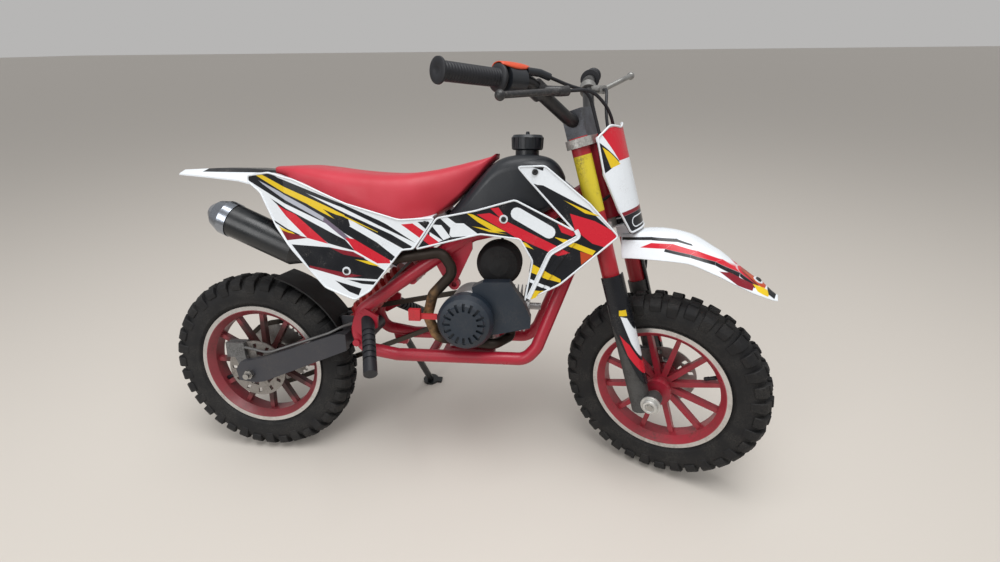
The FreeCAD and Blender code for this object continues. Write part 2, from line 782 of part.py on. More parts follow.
def make_swingarm():
    """Two box legs, a cross box behind the cradle and a pivot tube between its sides."""
    inner = float(S.arm_inner)
    outer = inner + float(S.arm_width)
    rear = [(30, -16), (10, -20), (-26, -16), (-30, 8), (-20, 24), (30, 36)]
    leg = [(213, 262)] + [(x, float(S.tyre_radius) + z) for x, z in rear] + [(196, 297), (213, 296)]
    legs = [feature("ArmLeft", prism_y(leg, inner, outer)), feature("ArmRight", prism_y(leg, -outer, -inner))]
    cross = block("ArmCross", (197, -outer, 268), (213, outer, 296))
    half = S.frame_spacing - S.frame_radius - 3
    ears = block("ArmEars", (205, -34, 270), (S.pivot_x, 34, 294))
    tube = rod_y("PivotTube", S.pivot_radius + 9, -half, half, S.pivot_x, S.pivot_z)
    lug = block("ShockLower", (186, -18, 290), (213, 18, 318))
    slot = block("ShockLowerSlot", (180, -12 - S.seat_gap, 297 - S.seat_gap), (220, 12 + S.seat_gap, 330))
    whole = fuse("ArmWhole", legs + [cross, ears, tube, cut("ShockLowerLug", lug, slot)])
    bores = [
        rod_y("PivotBore", S.pivot_radius + S.seat_gap, -80, 80, S.pivot_x, S.pivot_z),
        rod_y("AxleBore", S.axle_radius + S.seat_gap, -80, 80, 0, S.tyre_radius),
    ]
    return cut("Swingarm", whole, fuse("ArmBores", bores))


def make_axle(name, length, inner, nut=10):
    """Spindle with a spacer and a nut at each end."""
    parts = [rod_y(name + "Rod", S.axle_radius, -length, length)]
    for side in (-1, 1):
        start, stop = span(side * inner[0], side * inner[1])
        parts.append(rod_y(f"{name}Spacer{side + 1}", 10, start, stop))
        start, stop = span(side * inner[2], side * (inner[2] + 8))
        parts.append(hexagon_y(f"{name}Nut{side + 1}", nut, start, stop))
    return fuse(name, parts)


def make_shock():
    """Rear shock: two eyes, a damper body and a coil spring between its seats."""
    low = Vector(SHOCK_LOW[0], 0, SHOCK_LOW[1])
    high = Vector(SHOCK_HIGH[0], 0, SHOCK_HIGH[1])
    line = high - low
    length = line.Length
    turn = Rotation(Vector(0, 1, 0), line)
    profile = [(0, 0), (0, 7), (22, 7), (22, 19)]
    coils = 7
    first = 25
    pitch = (length - 2 * first - 6) / coils
    for i in range(coils):
        start = first + i * pitch
        profile += [(start, 15), (start + pitch * 0.3, 22), (start + pitch * 0.7, 22)]
    profile += [(length - first - 6, 15), (length - first, 19), (length - 20, 19), (length - 20, 7), (length, 7), (length, 0)]
    body = turned("ShockBody", profile)
    body.Placement = Placement(low, turn)
    eyes = [rod_y(f"ShockEye{i}", 9, -12, 12, x, z) for i, (x, z) in enumerate((SHOCK_LOW, SHOCK_HIGH))]
    return fuse("Shock", [body] + eyes)


# Body pieces.

Station = namedtuple("Station", "x half_width low high")


def rounded_section(x, half, low, high, top_round, low_round):
    """A section across the bike: straight sides with arcs at the corners."""
    t = min(top_round, (high - low) * 0.48, half * 0.8)
    b = min(low_round, (high - low) * 0.48, half * 0.8)
    k = 1 - math.sqrt(0.5)
    p = lambda y, z: Vector(x, y, z)
    return Part.Wire([
        Part.LineSegment(p(-half + b, low), p(half - b, low)).toShape(),
        Part.Arc(p(half - b, low), p(half - b * k, low + b * k), p(half, low + b)).toShape(),
        Part.LineSegment(p(half, low + b), p(half, high - t)).toShape(),
        Part.Arc(p(half, high - t), p(half - t * k, high - t * k), p(half - t, high)).toShape(),
        Part.LineSegment(p(half - t, high), p(-half + t, high)).toShape(),
        Part.Arc(p(-half + t, high), p(-half + t * k, high - t * k), p(-half, high - t)).toShape(),
        Part.LineSegment(p(-half, high - t), p(-half, low + b)).toShape(),
        Part.Arc(p(-half, low + b), p(-half + b * k, low + b * k), p(-half + b, low)).toShape(),
    ])


TANK = [
    Station(424, 46, 516, 540),
    Station(446, 56, 516, 566),
    Station(480, 66, 518, 603),
    Station(516, 70, 522, 636),
    Station(560, 72, 530, 646),
    Station(600, 68, 545, 643),
    Station(636, 52, 572, 608),
]
SEAT = [
    Station(96, 46, 613.5, 622),
    Station(150, 58, 602.5, 622),
    Station(235, 64, 564.5, 614),
    Station(330, 64, 534.5, 610),
    Station(400, 60, 538.5, 618),
    Station(445, 54, 570, 628),
    Station(480, 46, 606, 637),
    Station(512, 36, 637, 644),
]


def make_tank():
    wires = [rounded_section(s.x, s.half_width, s.low, s.high, 26, 14) for s in TANK]
    body = loft(wires)
    neck = Part.makeCylinder(22, 14, Vector(565, 0, 640))
    tunnels = []
    for side in both_sides(TOP_RAIL):
        tunnels.append(tube_shape(side, S.frame_radius + S.seat_gap, 34))
    head = Part.makeCylinder(float(S.head_radius) + 4, 300)
    head.Placement = STEER_STRAIGHT.multiply(Placement(vec(0, 0, S.head_low - 80), Rotation()))
    return body.fuse(neck).cut(tunnels + [head]).removeSplitter()


def make_cap():
    """Screw cap with a skirt and a vent nub."""
    r = S.cap_radius
    body = turned("FuelCap", [
        (0, 0), (0, r - 4), (2, r - 1), (22, r), (27, r - 4), (28, 4), (33, 3), (33, 0),
    ])
    groove = Part.makeBox(7, 18, 4, Vector(-3.5, 4, float(r) - 2))
    grooves = []
    for i in range(14):
        copy = groove.copy()
        copy.rotate(Vector(), Vector(0, 1, 0), i * 360 / 14)
        grooves.append(copy)
    cap = cut("FuelCapRibbed", body, feature("CapGrooves", Part.makeCompound(grooves)))
    cap.Placement = Placement(Vector(565, 0, 654.3), Rotation(Vector(1, 0, 0), 90))
    return cap


def make_seat():
    wires = [rounded_section(s.x, s.half_width, s.low, s.high, 18, 8) for s in SEAT]
    body = loft(wires, ruled=True)
    return feature("Seat", body)


Shell = namedtuple("Shell", "x half edge flat top")
TAIL = [
    Shell(-114, 33, 605, 16, 612),
    Shell(-40, 50, 601, 22, 616),
    Shell(30, 66, 596, 28, 616),
    Shell(88, 76, 584, 34, 613),
    Shell(150, 80, 566, 40, 602),
    Shell(235, 76, 540, 40, 564),
    Shell(330, 72, 514, 40, 534),
    Shell(396, 66, 514, 36, 537),
]


def shell_section(place, half, edge, flat, top, thickness):
    """An open channel section: a flat crown with two drooping sides."""
    drop = thickness
    points = [
        (-half, edge), (-flat, top), (flat, top), (half, edge),
        (half, edge - drop * 0.9), (flat - 1, top - drop), (1 - flat, top - drop), (-half, edge - drop * 0.9),
    ]
    corners = [place(y, z) for y, z in points]
    return Part.makePolygon(corners + [corners[0]])


def make_tail():
    t = float(S.panel_thickness)
    wires = []
    for s in TAIL:
        wires.append(shell_section(lambda y, z: Vector(s.x, y, z), s.half, s.edge, s.flat, s.top, t))
    shell = loft(wires, ruled=True)
    radius = float(S.seat_tube_radius + S.seat_gap)
    posts = [Part.makeBox(20, 40, 38, Vector(90, -20, 570))]
    cross = Part.makeCylinder(radius, 100, Vector(100, -50, 566), Vector(0, 1, 0))
    tubes = [tube_shape(side, radius, 60) for side in both_sides(SEAT_TUBE)]
    for y in (-51, 37):
        posts.append(Part.makeBox(16, 14, 38, Vector(322, y, 494)))
    posts = [post.cut([cross] + tubes) for post in posts]
    return feature("Tail", shell.fuse(posts))


def make_inner_fender():
    """Curved mudguard between the rear tyre and the cradle."""
    radius = float(S.tyre_radius) + 8
    outer = Part.makeCylinder(radius + 3, 78, Vector(0, -39, float(S.tyre_radius)), Vector(0, 1, 0))
    inner = Part.makeCylinder(radius, 90, Vector(0, -45, float(S.tyre_radius)), Vector(0, 1, 0))
    wedge = prism_y([(60, 300), (215, 300), (150, 520), (60, 520)], -50, 50)
    foot = Part.makeBox(14, 24, 12, Vector(186 - float(S.seat_gap) - 14, -12, 303)).cut(inner)
    return feature("InnerFender", outer.cut(inner).common(wedge).fuse(foot))


PANEL = [
    (70, 596), (72, 606), (120, 612), (168, 601), (256, 561), (346, 533), (408, 537), (370, 482),
    (349, 480), (289, 404), (261, 387), (209, 410), (157, 475), (124, 520), (97, 577),
]
PANEL_PLAN = [(60, 96), (150, 124), (240, 120), (330, 108), (420, 98)]
SHROUD = [
    (374, 481), (413, 537), (481, 551), (550, 571), (653, 521), (572, 606), (554, 626), (599, 628),
    (676, 567), (726, 514), (632, 426), (571, 392), (583, 466), (560, 504), (490, 511),
]
SHROUD_PLAN = [(360, 101), (430, 100), (560, 102), (640, 106), (740, 112)]
FIN = [(653, 521), (661, 512), (590, 400), (571, 392), (583, 410), (645, 505)]


def curved_slab(plan, thickness, low, high):
    """A wall that follows a plan line of (x, y) points, standing between two heights."""
    outer = [Vector(x, y, low) for x, y in plan]
    inner = [Vector(x, y - thickness, low) for x, y in reversed(plan)]
    face = Part.Face(Part.makePolygon(outer + inner + [outer[0]]))
    return face.extrude(Vector(0, 0, high - low))


def plastic_side(outline, plan):
    slab = curved_slab(plan, float(S.panel_thickness), 350, 680)
    return slab.common(prism_y(outline, 60, 160))


def make_panels():
    t = float(S.panel_thickness)
    rear = Part.makeBox(12, 120 - 76.6, 11, Vector(229, 76.6, 530))
    front = Part.makeBox(16, 103 - 49, 13, Vector(356, 49, 484.5))
    front = front.cut(tube_shape(both_sides(SEAT_TUBE)[0], S.seat_tube_radius + S.seat_gap, 60))
    keep = curved_slab([(x, y - t / 2) for x, y in PANEL_PLAN], 90, 350, 680)
    bosses = [boss.common(keep) for boss in (rear, front)]
    left = plastic_side(PANEL, PANEL_PLAN).fuse(bosses)
    node("side_panel_left", feature("PanelLeft", left))
    node("side_panel_right", feature("PanelRight", mirrored(left)))


def make_shrouds():
    """Tank shrouds with a raised fin."""
    raised = [(x, y + 2.9) for x, y in SHROUD_PLAN]
    near_tank = TANK_SHAPE.copy()
    near_tank.translate(vec(0, S.seat_gap, 0))
    boss = Part.makeBox(16, 41, 13, Vector(578, 60, 604)).cut(near_tank)
    left = plastic_side(SHROUD, SHROUD_PLAN).fuse([plastic_side(FIN, raised), boss])
    node("shroud_left", feature("ShroudLeft", left))
    node("shroud_right", feature("ShroudRight", mirrored(left)))


# Engine. Modelled about the crankshaft, with the cylinder pointing forward.

ENGINE = Placement(CRANK, Rotation())


def make_crankcase():
    case = turned("CaseDrum", [(-52, 0), (-52, 40), (-46, 46), (20, 46), (26, 40), (26, 0)])
    base = block("CaseBase", (-40, -46, -70), (46, 20, -20))
    flange = block("CaseFlange", (20, -40, -26), (52, 22, 34))
    return fuse("Crankcase", [case, base, flange])


def make_cylinder():
    """Air cooled cylinder: a barrel with square fins, a head and a spark plug."""
    barrel = doc.addObject("Part::Cylinder", "Barrel")
    bind(barrel, Radius=24, Height=64)
    move_to(barrel, 52.3, -8, 4, ALONG_X)
    parts = [barrel]
    for i in range(7):
        x = 58 + i * 8
        parts.append(block(f"Fin{i}", (x, -42, -34), (x + 2.5, 28, 42)))
    plug = doc.addObject("Part::Cylinder", "Plug")
    bind(plug, Radius=7, Height=24)
    move_to(plug, 114, 4, 4, ALONG_X)
    return fuse("Cylinder", parts + [plug])


COWL = [(10, 62), (30, 72), (80, 74), (106, 36), (121, 4), (120, -14), (54, -30), (20, -30)]


COWL_INNER = [(56, -27), (56, 48), (96, 48), (106, 36), (112, 20), (112, -15)]


def make_cowl():
    """Cooling cowl on the cylinder's right side, open towards the fins."""
    shape = prism_y(COWL, -78, -52.3)
    shape = shape.fuse(prism_y(COWL_INNER, -60, -42.3))
    eye = Part.makeCylinder(30 + float(S.seat_gap), 100, Vector(0, -100, 0), Vector(0, 1, 0))
    return feature("Cowl", shape.cut(eye))


def make_starter():
    """Recoil starter: a round cover with a ring of vents."""
    face = S.starter_face
    r = S.starter_radius
    body = turned("Starter", [
        (-face, 0), (-face, r - 17), (3 - face, r - 15), (8 - face, r - 6), (18 - face, r),
        (-79, r), (-79, 30), (-52.3, 30), (-52.3, 0),
    ])
    low, high = float(r) - 28, float(r) - 13
    vent = prism_y([(-2.2, low), (-2.8, high), (2.8, high), (2.2, low)], -float(face) - 10, 6 - float(face))
    vents = []
    for i in range(16):
        copy = vent.copy()
        copy.rotate(Vector(), Vector(0, 1, 0), i * 22.5)
        vents.append(copy)
    return cut("StarterCover", body, feature("StarterVents", Part.makeCompound(vents)))


def make_handle():
    grip = block("HandleGrip", (-106, -102, 0), (-84, -92, 22))
    reach = 0 - S.starter_radius - S.seat_gap
    neck = block("HandleNeck", (-84, -96.5, 2), (reach, -90, 12))
    return fuse("Handle", [grip, neck])


def make_clutch():
    """Clutch bell and the output shaft that carries the engine sprocket."""
    shaft = 6 - S.seat_gap
    end = S.chain_offset + 6
    return turned("Clutch", [
        (26.3, 0), (26.3, 38), (36, 38), (40, 30), (40, shaft), (end, shaft), (end, 0),
    ])


def make_header():
    """Exhaust pipe from the cylinder up over the cradle to the silencer."""
    axis = (MUFFLER_FRONT - MUFFLER_REAR).normalize()
    end = MUFFLER_FRONT + axis * float(S.seat_gap)
    before = MUFFLER_FRONT + axis * 30
    points = [
        (540, -18, CRANK.z - 34 - float(S.seat_gap)), (540, -18, 290), (512, -66, 290), (400, -66, 300),
        (383, -68, 345), (398, -82, 392), (440, -86, 438), (418, -86, 474), (300, -87, 455), tuple(before), tuple(end),
    ]
    return feature("Header", tube_shape(points, S.header_radius, 22))


MUFFLER_REAR = Vector(-14, -88, 541)
MUFFLER_FRONT = Vector(170, -88, 459.5)


def make_muffler():
    line = MUFFLER_REAR - MUFFLER_FRONT
    turn = Rotation(Vector(0, 1, 0), line)
    length = line.Length
    r = S.muffler_radius
    body = turned("Muffler", [(0, 0), (0, S.header_radius + 3), (30, r), (length - 46, r), (length - 46, 0)])
    body.Placement = Placement(MUFFLER_FRONT, turn)
    cap = turned("MufflerCap", [
        (length - 45.7, 0), (length - 45.7, r + 1.5), (length - 30, r + 1.5), (length - 12, r - 6),
        (length, r - 18), (length, 8), (length - 20, 8), (length - 20, 0),
    ])
    cap.Placement = Placement(MUFFLER_FRONT, turn)
    return body, cap


def make_filter():
    """Domed air filter above the cylinder."""
    body = turned("Filter", [(0, 0), (0, 40), (6, 44), (30, 44), (44, 36), (50, 20), (52, 0)])
    body.Placement = Placement(CRANK + Vector(56, 2, 98), Rotation(Vector(1, 0, 0), 180))
    return body


def make_carburettor():
    body = block("CarbBody", (38, 10, 78), (76, 38, 118))
    bowl = rod_z("CarbBowl", 13, 62, 96, 57, 24)
    neck = rod_y("CarbNeck", 15, 2 + S.seat_gap, 44, 57, 98)
    intake = rod_z("CarbIntake", 9, 42 + S.seat_gap, 80, 70, 16)
    return fuse("Carburettor", [body, bowl, neck, intake])


def make_pegs():
    parts = []
    for side in (-1, 1):
        y = float(S.frame_spacing) + 15
        points = [(263, side * (y - 8), 333), (304, side * (y + 98), 268)]
        start, stop = [vec(*p) for p in points]
        line = stop - start
        peg = Part.makeCylinder(12.5, line.Length, start, line)
        y0, y1 = span(side * (y + float(S.seat_gap)), side * 300)
        peg = peg.common(Part.makeBox(200, y1 - y0, 200, Vector(200, y0, 200)))
        way = Vector(line).normalize()
        grooves = []
        for i in range(6):
            at = start + way * (34 + i * 13)
            ring = Part.makeCylinder(16, 5, at, way).cut(Part.makeCylinder(10.5, 5, at, way))
            grooves.append(ring)
        peg = peg.cut(grooves)
        parts.append(feature(f"Peg{side + 1}", peg))
    return together("Pegs", parts)


REAR_BRACKET = [(x, float(S.tyre_radius) + z) for x, z in ((-46, 44), (-30, -2), (-14, -2), (-13, 14), (-19, 40))]
FRONT_BRACKET = [(-38, 36), (-38, 58), (-20, 58), (-20, 36)]


def make_caliper(name, side, x, z, outside, bracket, bracket_y):
    """Two halves over the disc with a slot for it, and the bracket that holds them."""
    y0, y1 = span(side * (S.disc_offset - 11), side * outside)
    body = block(name + "Body", (x - 20, y0, z - 16), (x + 20, y1, z + 16))
    y0, y1 = span(side * (S.disc_offset - 2.5), side * (S.disc_offset + 2.5))
    slot = block(name + "Slot", (x - 30, y0, z - 30), (x + 30, y1, z + 30))
    y0, y1 = span(side * bracket_y[0], side * bracket_y[1])
    arm = feature(name + "Bracket", prism_y(bracket, y0, y1))
    return fuse(name, [cut(name + "Halves", body, slot), arm])


# Steering. Modelled in the steering frame: x forward, y left, z along the steering axis.

def make_clamps():
    """Upper and lower triple clamp with the steering stem between them."""
    parts = []
    t = S.clamp_thickness
    gap = S.seat_gap
    for i, z in enumerate((S.head_high + gap, S.head_low - gap - t)):
        reach = S.fork_spacing
        parts.append(rod_z(f"Clamp{i}Left", S.fork_radius + 7, z, z + t, 0, reach))
        parts.append(rod_z(f"Clamp{i}Right", S.fork_radius + 7, z, z + t, 0, -reach))
        parts.append(block(f"Clamp{i}Bridge", (-12, -reach, z), (12, reach, z + t)))
    low = S.head_low - gap - t
    parts.append(rod_z("Stem", S.stem_radius, low, S.head_high + gap + t))
    rise = S.head_high + gap + t
    parts.append(block("BarMount", (-34, -36, rise), (4, 36, rise + 50)))
    whole = fuse("ClampWhole", parts)
    tools = []
    for side in (-1, 1):
        tools.append(rod_z(f"ForkBore{side + 1}", S.fork_radius + gap, low - 5, rise + 0.0, 0, S.fork_spacing * side))
    tools.append(rod_y("BarBore", S.bar_radius + gap, -80, 80, -15, rise + 32))
    return cut("Clamps", whole, fuse("ClampBores", tools))


def make_fork_tubes():
    top = S.head_high + S.seat_gap + S.clamp_thickness + 2
    parts = [rod_z(f"ForkTube{side + 1}", S.fork_radius, 205, top, 0, S.fork_spacing * side) for side in (-1, 1)]
    return together("ForkTubes", parts)


def make_sliders():
    """Lower fork legs, each with a lug that carries the axle ahead of the leg."""
    parts = []
    for side in (-1, 1):
        y = S.fork_spacing * side
        leg = rod_z(f"Slider{side + 1}", S.slider_radius, -16, 204.7, 0, y)
        y0, y1 = span(side * (S.fork_spacing - 14), side * (S.fork_spacing + 15))
        lug = rod_y(f"AxleLug{side + 1}", 15, y0, y1, S.fork_offset, 0)
        web = block(f"AxleWeb{side + 1}", (0, y - 9, -14), (S.fork_offset, y + 9, 15))
        parts.append(fuse(f"Leg{side + 1}", [leg, lug, web]))
    bore = rod_y("AxleHole", S.axle_radius + S.seat_gap, -100, 100, S.fork_offset, 0)
    return cut("Sliders", together("Legs", parts), bore)


GUARD = [(-12, 262), (40, 262), (40, 160), (34, 50), (24, 34), (14, 60), (-12, 170)]


def make_guards():
    """Curved plastic guards on the outside and front of each lower leg."""
    parts = []
    r = float(S.slider_radius + S.seat_gap)
    for side in (-1, 1):
        y = float(S.fork_spacing) * side
        outer = Part.makeCylinder(r + 2.6, 260, Vector(0, y, 20))
        inner = Part.makeCylinder(r, 280, Vector(0, y, 10))
        y0, y1 = span(y - side * 6, y + side * 40)
        front = prism_y(GUARD, y0, y1)
        parts.append(feature(f"Guard{side + 1}", outer.cut(inner).common(front)))
    return together("Guards", parts)


def bar_points():
    half = [(-15, 46, 543), (-33, 132, 616), (-76, 300, 645)]
    right = [(x, -y, z) for x, y, z in reversed(half)]
    rise = float(S.head_high) + float(S.seat_gap) + float(S.clamp_thickness) - 509.3
    return [(x, y, z + rise - 1.7) for x, y, z in right + half]


def make_bar():
    return feature("Bar", tube_shape(bar_points(), S.bar_radius, 34))


def make_grips():
    points = [vec(*p) for p in bar_points()]
    parts = []
    for end, before in ((points[0], points[1]), (points[-1], points[-2])):
        line = (end - before).normalize()
        start = end - line * (float(S.grip_length) - 4)
        outer = Part.makeCylinder(float(S.grip_radius), float(S.grip_length), start, line)
        for at in (0, float(S.grip_length) - 5):
            outer = outer.fuse(Part.makeCylinder(float(S.grip_radius) + 4, 5, start + line * at, line))
        hole = Part.makeCylinder(float(S.bar_radius + S.seat_gap), float(S.grip_length) - 4 + 0.3, start, line)
        parts.append(outer.cut(hole))
    return together("Grips", [feature("GripRight", parts[0]), feature("GripLeft", parts[1])])


THROTTLE_NOSE = [Vector(14, 2, 10), Vector(24, 26, 4), Vector(30, 44, -4)]


def make_throttle():
    """Throttle housing clamped round the bar inside the right grip."""
    points = [vec(*p) for p in bar_points()]
    end, before = points[0], points[1]
    line = (end - before).normalize()
    start = end - line * (float(S.grip_length) + 40)
    body = Part.makeCylinder(20, 35, start, line)
    nose = tube_shape([start + p for p in THROTTLE_NOSE], 6, 20)
    hole = Part.makeCylinder(float(S.bar_radius + S.seat_gap), 60, start - line * 10, line)
    return feature("Throttle", body.fuse([nose]).cut(hole))


Lever = namedtuple("Lever", "side knee tip")
LEVERS = [
    Lever(-1, (8, 150, 586), (-30, 238, 595)),
    Lever(1, (34, 150, 598), (28, 226, 607)),
]
LEVER_ROOT = (2, 106, 588)
CABLE_STOP = (10, 90, 586)


def make_levers():
    """Brake levers on their perches, clamped round the rising part of the bar."""
    points = [vec(*p) for p in bar_points()]
    parts = []
    for lever in LEVERS:
        corner, below = (points[1], points[2]) if lever.side < 0 else (points[-2], points[-3])
        line = (corner - below).normalize()
        at = corner - line * 30
        ring = Part.makeCylinder(16, 16, at, line)
        flip = lambda p: Vector(p[0], lever.side * p[1], p[2])
        root, stop, tip = flip(LEVER_ROOT), flip(CABLE_STOP), flip(lever.tip)
        perch = tube_shape([at + line * 8, root, stop], 8, 10)
        blade = tube_shape([root, flip(lever.knee), tip], 5, 30)
        ball = Part.makeSphere(8, tip)
        hole = Part.makeCylinder(float(S.bar_radius + S.seat_gap), 60, at - line * 20, line)
        parts.append(feature(f"Lever{lever.side + 1}", ring.fuse([perch, blade, ball]).cut(hole)))
    return together("Levers", parts)


PLATE = [(-34, 516), (-60, 502), (-62, 440), (-52, 370), (-40, 326), (40, 326), (52, 370), (62, 440), (60, 502), (34, 516), (0, 508)]


def make_plate():
    """Bare number plate, bowed forward."""
    t = float(S.panel_thickness)
    reach, middle = 24, 54
    outer = Part.Wire([Part.Arc(Vector(reach, -66, 300), Vector(middle, 0, 300), Vector(reach, 66, 300)).toShape(),
                       Part.LineSegment(Vector(reach, 66, 300), Vector(reach - t, 66, 300)).toShape(),
                       Part.Arc(Vector(reach - t, 66, 300), Vector(middle - t, 0, 300), Vector(reach - t, -66, 300)).toShape(),
                       Part.LineSegment(Vector(reach - t, -66, 300), Vector(reach, -66, 300)).toShape()])
    slab = Part.Face(outer).extrude(Vector(0, 0, 240))
    points = [Vector(0, y, z) for y, z in PLATE]
    mask = Part.Face(Part.makePolygon(points + [points[0]])).extrude(Vector(90, 0, 0))
    gap = float(S.seat_gap)
    stays = []
    for low in (float(S.head_low) - gap - float(S.clamp_thickness) + 0.5, float(S.head_high) + gap + 0.5):
        stays.append(Part.makeBox(39, 16, 14, Vector(12 + gap, -8, low)))
    return feature("Plate", slab.common(mask).fuse(stays))


BEAK = [
    Shell(20, 48, 284, 22, 322),
    Shell(85, 52, 274, 22, 314),
    Shell(135, 50, 262, 20, 293),
    Shell(176, 46, 238, 16, 256),
    Shell(208, 38, 208, 12, 219),
    Shell(252, 22, 164, 6, 169),
]


def make_beak():
    t = float(S.panel_thickness)
    wires = [shell_section(lambda y, z: Vector(s.x, y, z), s.half, s.edge, s.flat, s.top, t) for s in BEAK]
    shell = loft(wires, ruled=True)
    clamp_low = float(S.head_low) - float(S.seat_gap) - float(S.clamp_thickness)
    boss = Part.makeBox(26, 30, clamp_low - 0.3 - 316, Vector(10, -15, 316))
    tab = Part.makeBox(40, 36, 4, Vector(-12, -18, clamp_low - 0.3 - 4))
    return feature("Beak", shell.fuse([boss, tab]))


# Cables.

def beyond(start, stop, gap):
    """A point a little past stop, on the line from start."""
    start, stop = vec(*start), vec(*stop)
    return tuple(stop + (stop - start).normalize() * gap)


def make_cables():
    """Bowden cables from the levers and the throttle, as far as the steering carries them."""
    gap = float(S.seat_gap)
    left = beyond(LEVER_ROOT, CABLE_STOP, gap)
    right = (left[0], -left[1], left[2])
    front = [
        right, (34, -44, 580), (44, -4, 540), (30, 30, 470), (26, 52, 380), (30, 80, 290),
        (16, 98, 220), (-22, 94, 150), (-32, 64, 112), (-30, 54, 88), (-30, 54, 58 + gap),
    ]
    node("front_brake_cable", feature("FrontCable", tube_shape(front, S.cable_radius)), STEERED)
    points = [vec(*p) for p in bar_points()]
    line = (points[0] - points[1]).normalize()
    start = points[0] - line * (float(S.grip_length) + 40)
    nose = beyond(start + THROTTLE_NOSE[1], start + THROTTLE_NOSE[2], gap)
    upper = [nose, (6, -67, 595), (24, -34, 580), (24, -28, 520), (24, -28, 400)]
    second = [left, (26, 58, 582), (22, 34, 540), (20, 26, 480), (22, 26, 400)]
    parts = [
        feature("ThrottleUpper", tube_shape(upper, S.cable_radius)),
        feature("RearBrakeUpper", tube_shape(second, S.cable_radius)),
    ]
    node("control_cables", together("ControlCables", parts), STEERED)
    carb_top = (CRANK.x + 57, 24, CRANK.z + 118 + gap)
    throttle = [
        from_head(4, -27, 398), from_head(-30, -27, 384), from_head(-92, -18, 360), (570, 12, 500),
        (carb_top[0], carb_top[1], 500), carb_top,
    ]
    node("throttle_cable", feature("ThrottleCable", tube_shape(throttle, S.cable_radius)))
    axle = float(S.tyre_radius)
    arm_y = -float(S.arm_inner) - float(S.arm_width) / 2
    rear = [
        from_head(4, 27, 398), from_head(-30, 27, 384), from_head(-100, 8, 366), (560, -8, 505), (450, -30, 500),
        (375, -34, 472), (300, -36, 402), (258, -36, 338), (228, -36, 314), (200, -50, 307), (180, arm_y, 296.5),
        (40, arm_y, axle + 45), (10, -53, axle + 48), (gap - 18, -48, axle + 50),
    ]
    node("rear_brake_cable", feature("RearBrakeCable", tube_shape(rear, S.cable_radius)))


# Side stand.

def solve_pose():
    """Pitch and lift that put both tyres on the ground, with the bike leaning."""
    lean = Placement(Vector(), Rotation(Vector(1, 0, 0), -float(S.lean_angle)))

    def lowest(pitch, wheel):
        pose = lean.multiply(Placement(Vector(), Rotation(Vector(0, 1, 0), -pitch))).multiply(wheel)
        return min(pose.multVec(v.Point).z for v in TYRE.Shape.Vertexes)

    low, high = -4.0, 4.0
    for _ in range(40):
        middle = (low + high) / 2
        if lowest(middle, FRONT_WHEEL) > lowest(middle, REAR_WHEEL):
            high = middle
        else:
            low = middle
    pitched = lean.multiply(Placement(Vector(), Rotation(Vector(0, 1, 0), -middle)))
    lift = Placement(Vector(0, 0, -lowest(middle, REAR_WHEEL)), Rotation())
    return lift.multiply(pitched)


def stand_foot():
    """Where the stand's foot meets the ground, in the bike's frame, and on the ground."""
    over = STAND_POSE.multVec(vec(S.stand_foot_x, S.stand_foot_y, 50))
    return STAND_POSE.inverse().multVec(Vector(over.x, over.y, 3)), over


def stand_pivot():
    """The stand's pivot and the direction of its bolt, square to the leg and to the bike's length."""
    pivot = vec(S.stand_x, S.stand_y, S.stand_z)
    leg = stand_foot()[0] - pivot
    return pivot, Vector(0, -leg.z, leg.y).normalize()


HEAD_SEAT = float(S.stand_radius + S.seat_gap) + 0.5


def make_stand():
    """Side stand: a tube from its pivot down to a foot that lies flat on the ground."""
    pivot, axis = stand_pivot()
    ground = STAND_POSE.inverse()
    foot_at, over = stand_foot()
    leg = Part.makeCylinder(float(S.stand_radius), (foot_at - pivot).Length, pivot, foot_at - pivot)
    foot = Part.makeCylinder(20, 6, Vector(), Vector(0, 0, 1))
    foot = foot.fuse(Part.makeBox(34, 18, 6, Vector(-4, -9, 0)))
    foot.Placement = ground.multiply(Placement(Vector(over.x, over.y, 0), Rotation()))
    length = float(S.knuckle_length)
    inside = length - float(S.stand_radius) - 0.5
    top = Part.makeCylinder(float(S.knuckle_radius), length, pivot - axis * inside, axis)
    bore = Part.makeCylinder(float(S.bolt_radius + S.bearing_gap), 80, pivot - axis * 40, axis)
    skim = Part.makeBox(400, 400, 60, Vector(over.x - 200, over.y - 200, -60))
    skim.Placement = ground.multiply(skim.Placement)
    return feature("SideStand", leg.fuse([foot, top]).cut([skim, bore]))


# Assembly.

TYRE = make_tyre_pattern()
doc.recompute()
STAND_POSE = solve_pose()

node("front_tyre", together("FrontTyre", [TYRE]), FRONT_WHEEL)
node("rear_tyre", together("RearTyre", [TYRE]), REAR_WHEEL)
node("front_rim", make_rim("FrontRim"), FRONT_WHEEL)
node("rear_rim", make_rim("RearRim"), REAR_WHEEL)
node("front_disc", make_disc("FrontDisc", 1), FRONT_WHEEL)
node("rear_disc", make_disc("RearDisc", -1), REAR_WHEEL)
ring = sprocket_shape(int(float(S.sprocket_teeth)), REAR_PHASE, 22)
ring.translate(vec(0, S.chain_offset, 0))
start = float(HUB_END + S.seat_gap)
stop = float(S.chain_offset)
carrier = Part.makeCylinder(27, stop - start, Vector(0, start, 0), Vector(0, 1, 0))
carrier = carrier.cut(Part.makeCylinder(22, 100, Vector(0, 0, 0), Vector(0, 1, 0)))
node("rear_sprocket", feature("RearSprocket", ring.fuse(carrier)), REAR_WHEEL)
drive = sprocket_shape(int(float(S.drive_teeth)), DRIVE_PHASE, 6)
drive.translate(vec(0, S.chain_offset, 0))
node("drive_sprocket", feature("DriveSprocket", drive), ENGINE)
node("drive_chain", make_chain())

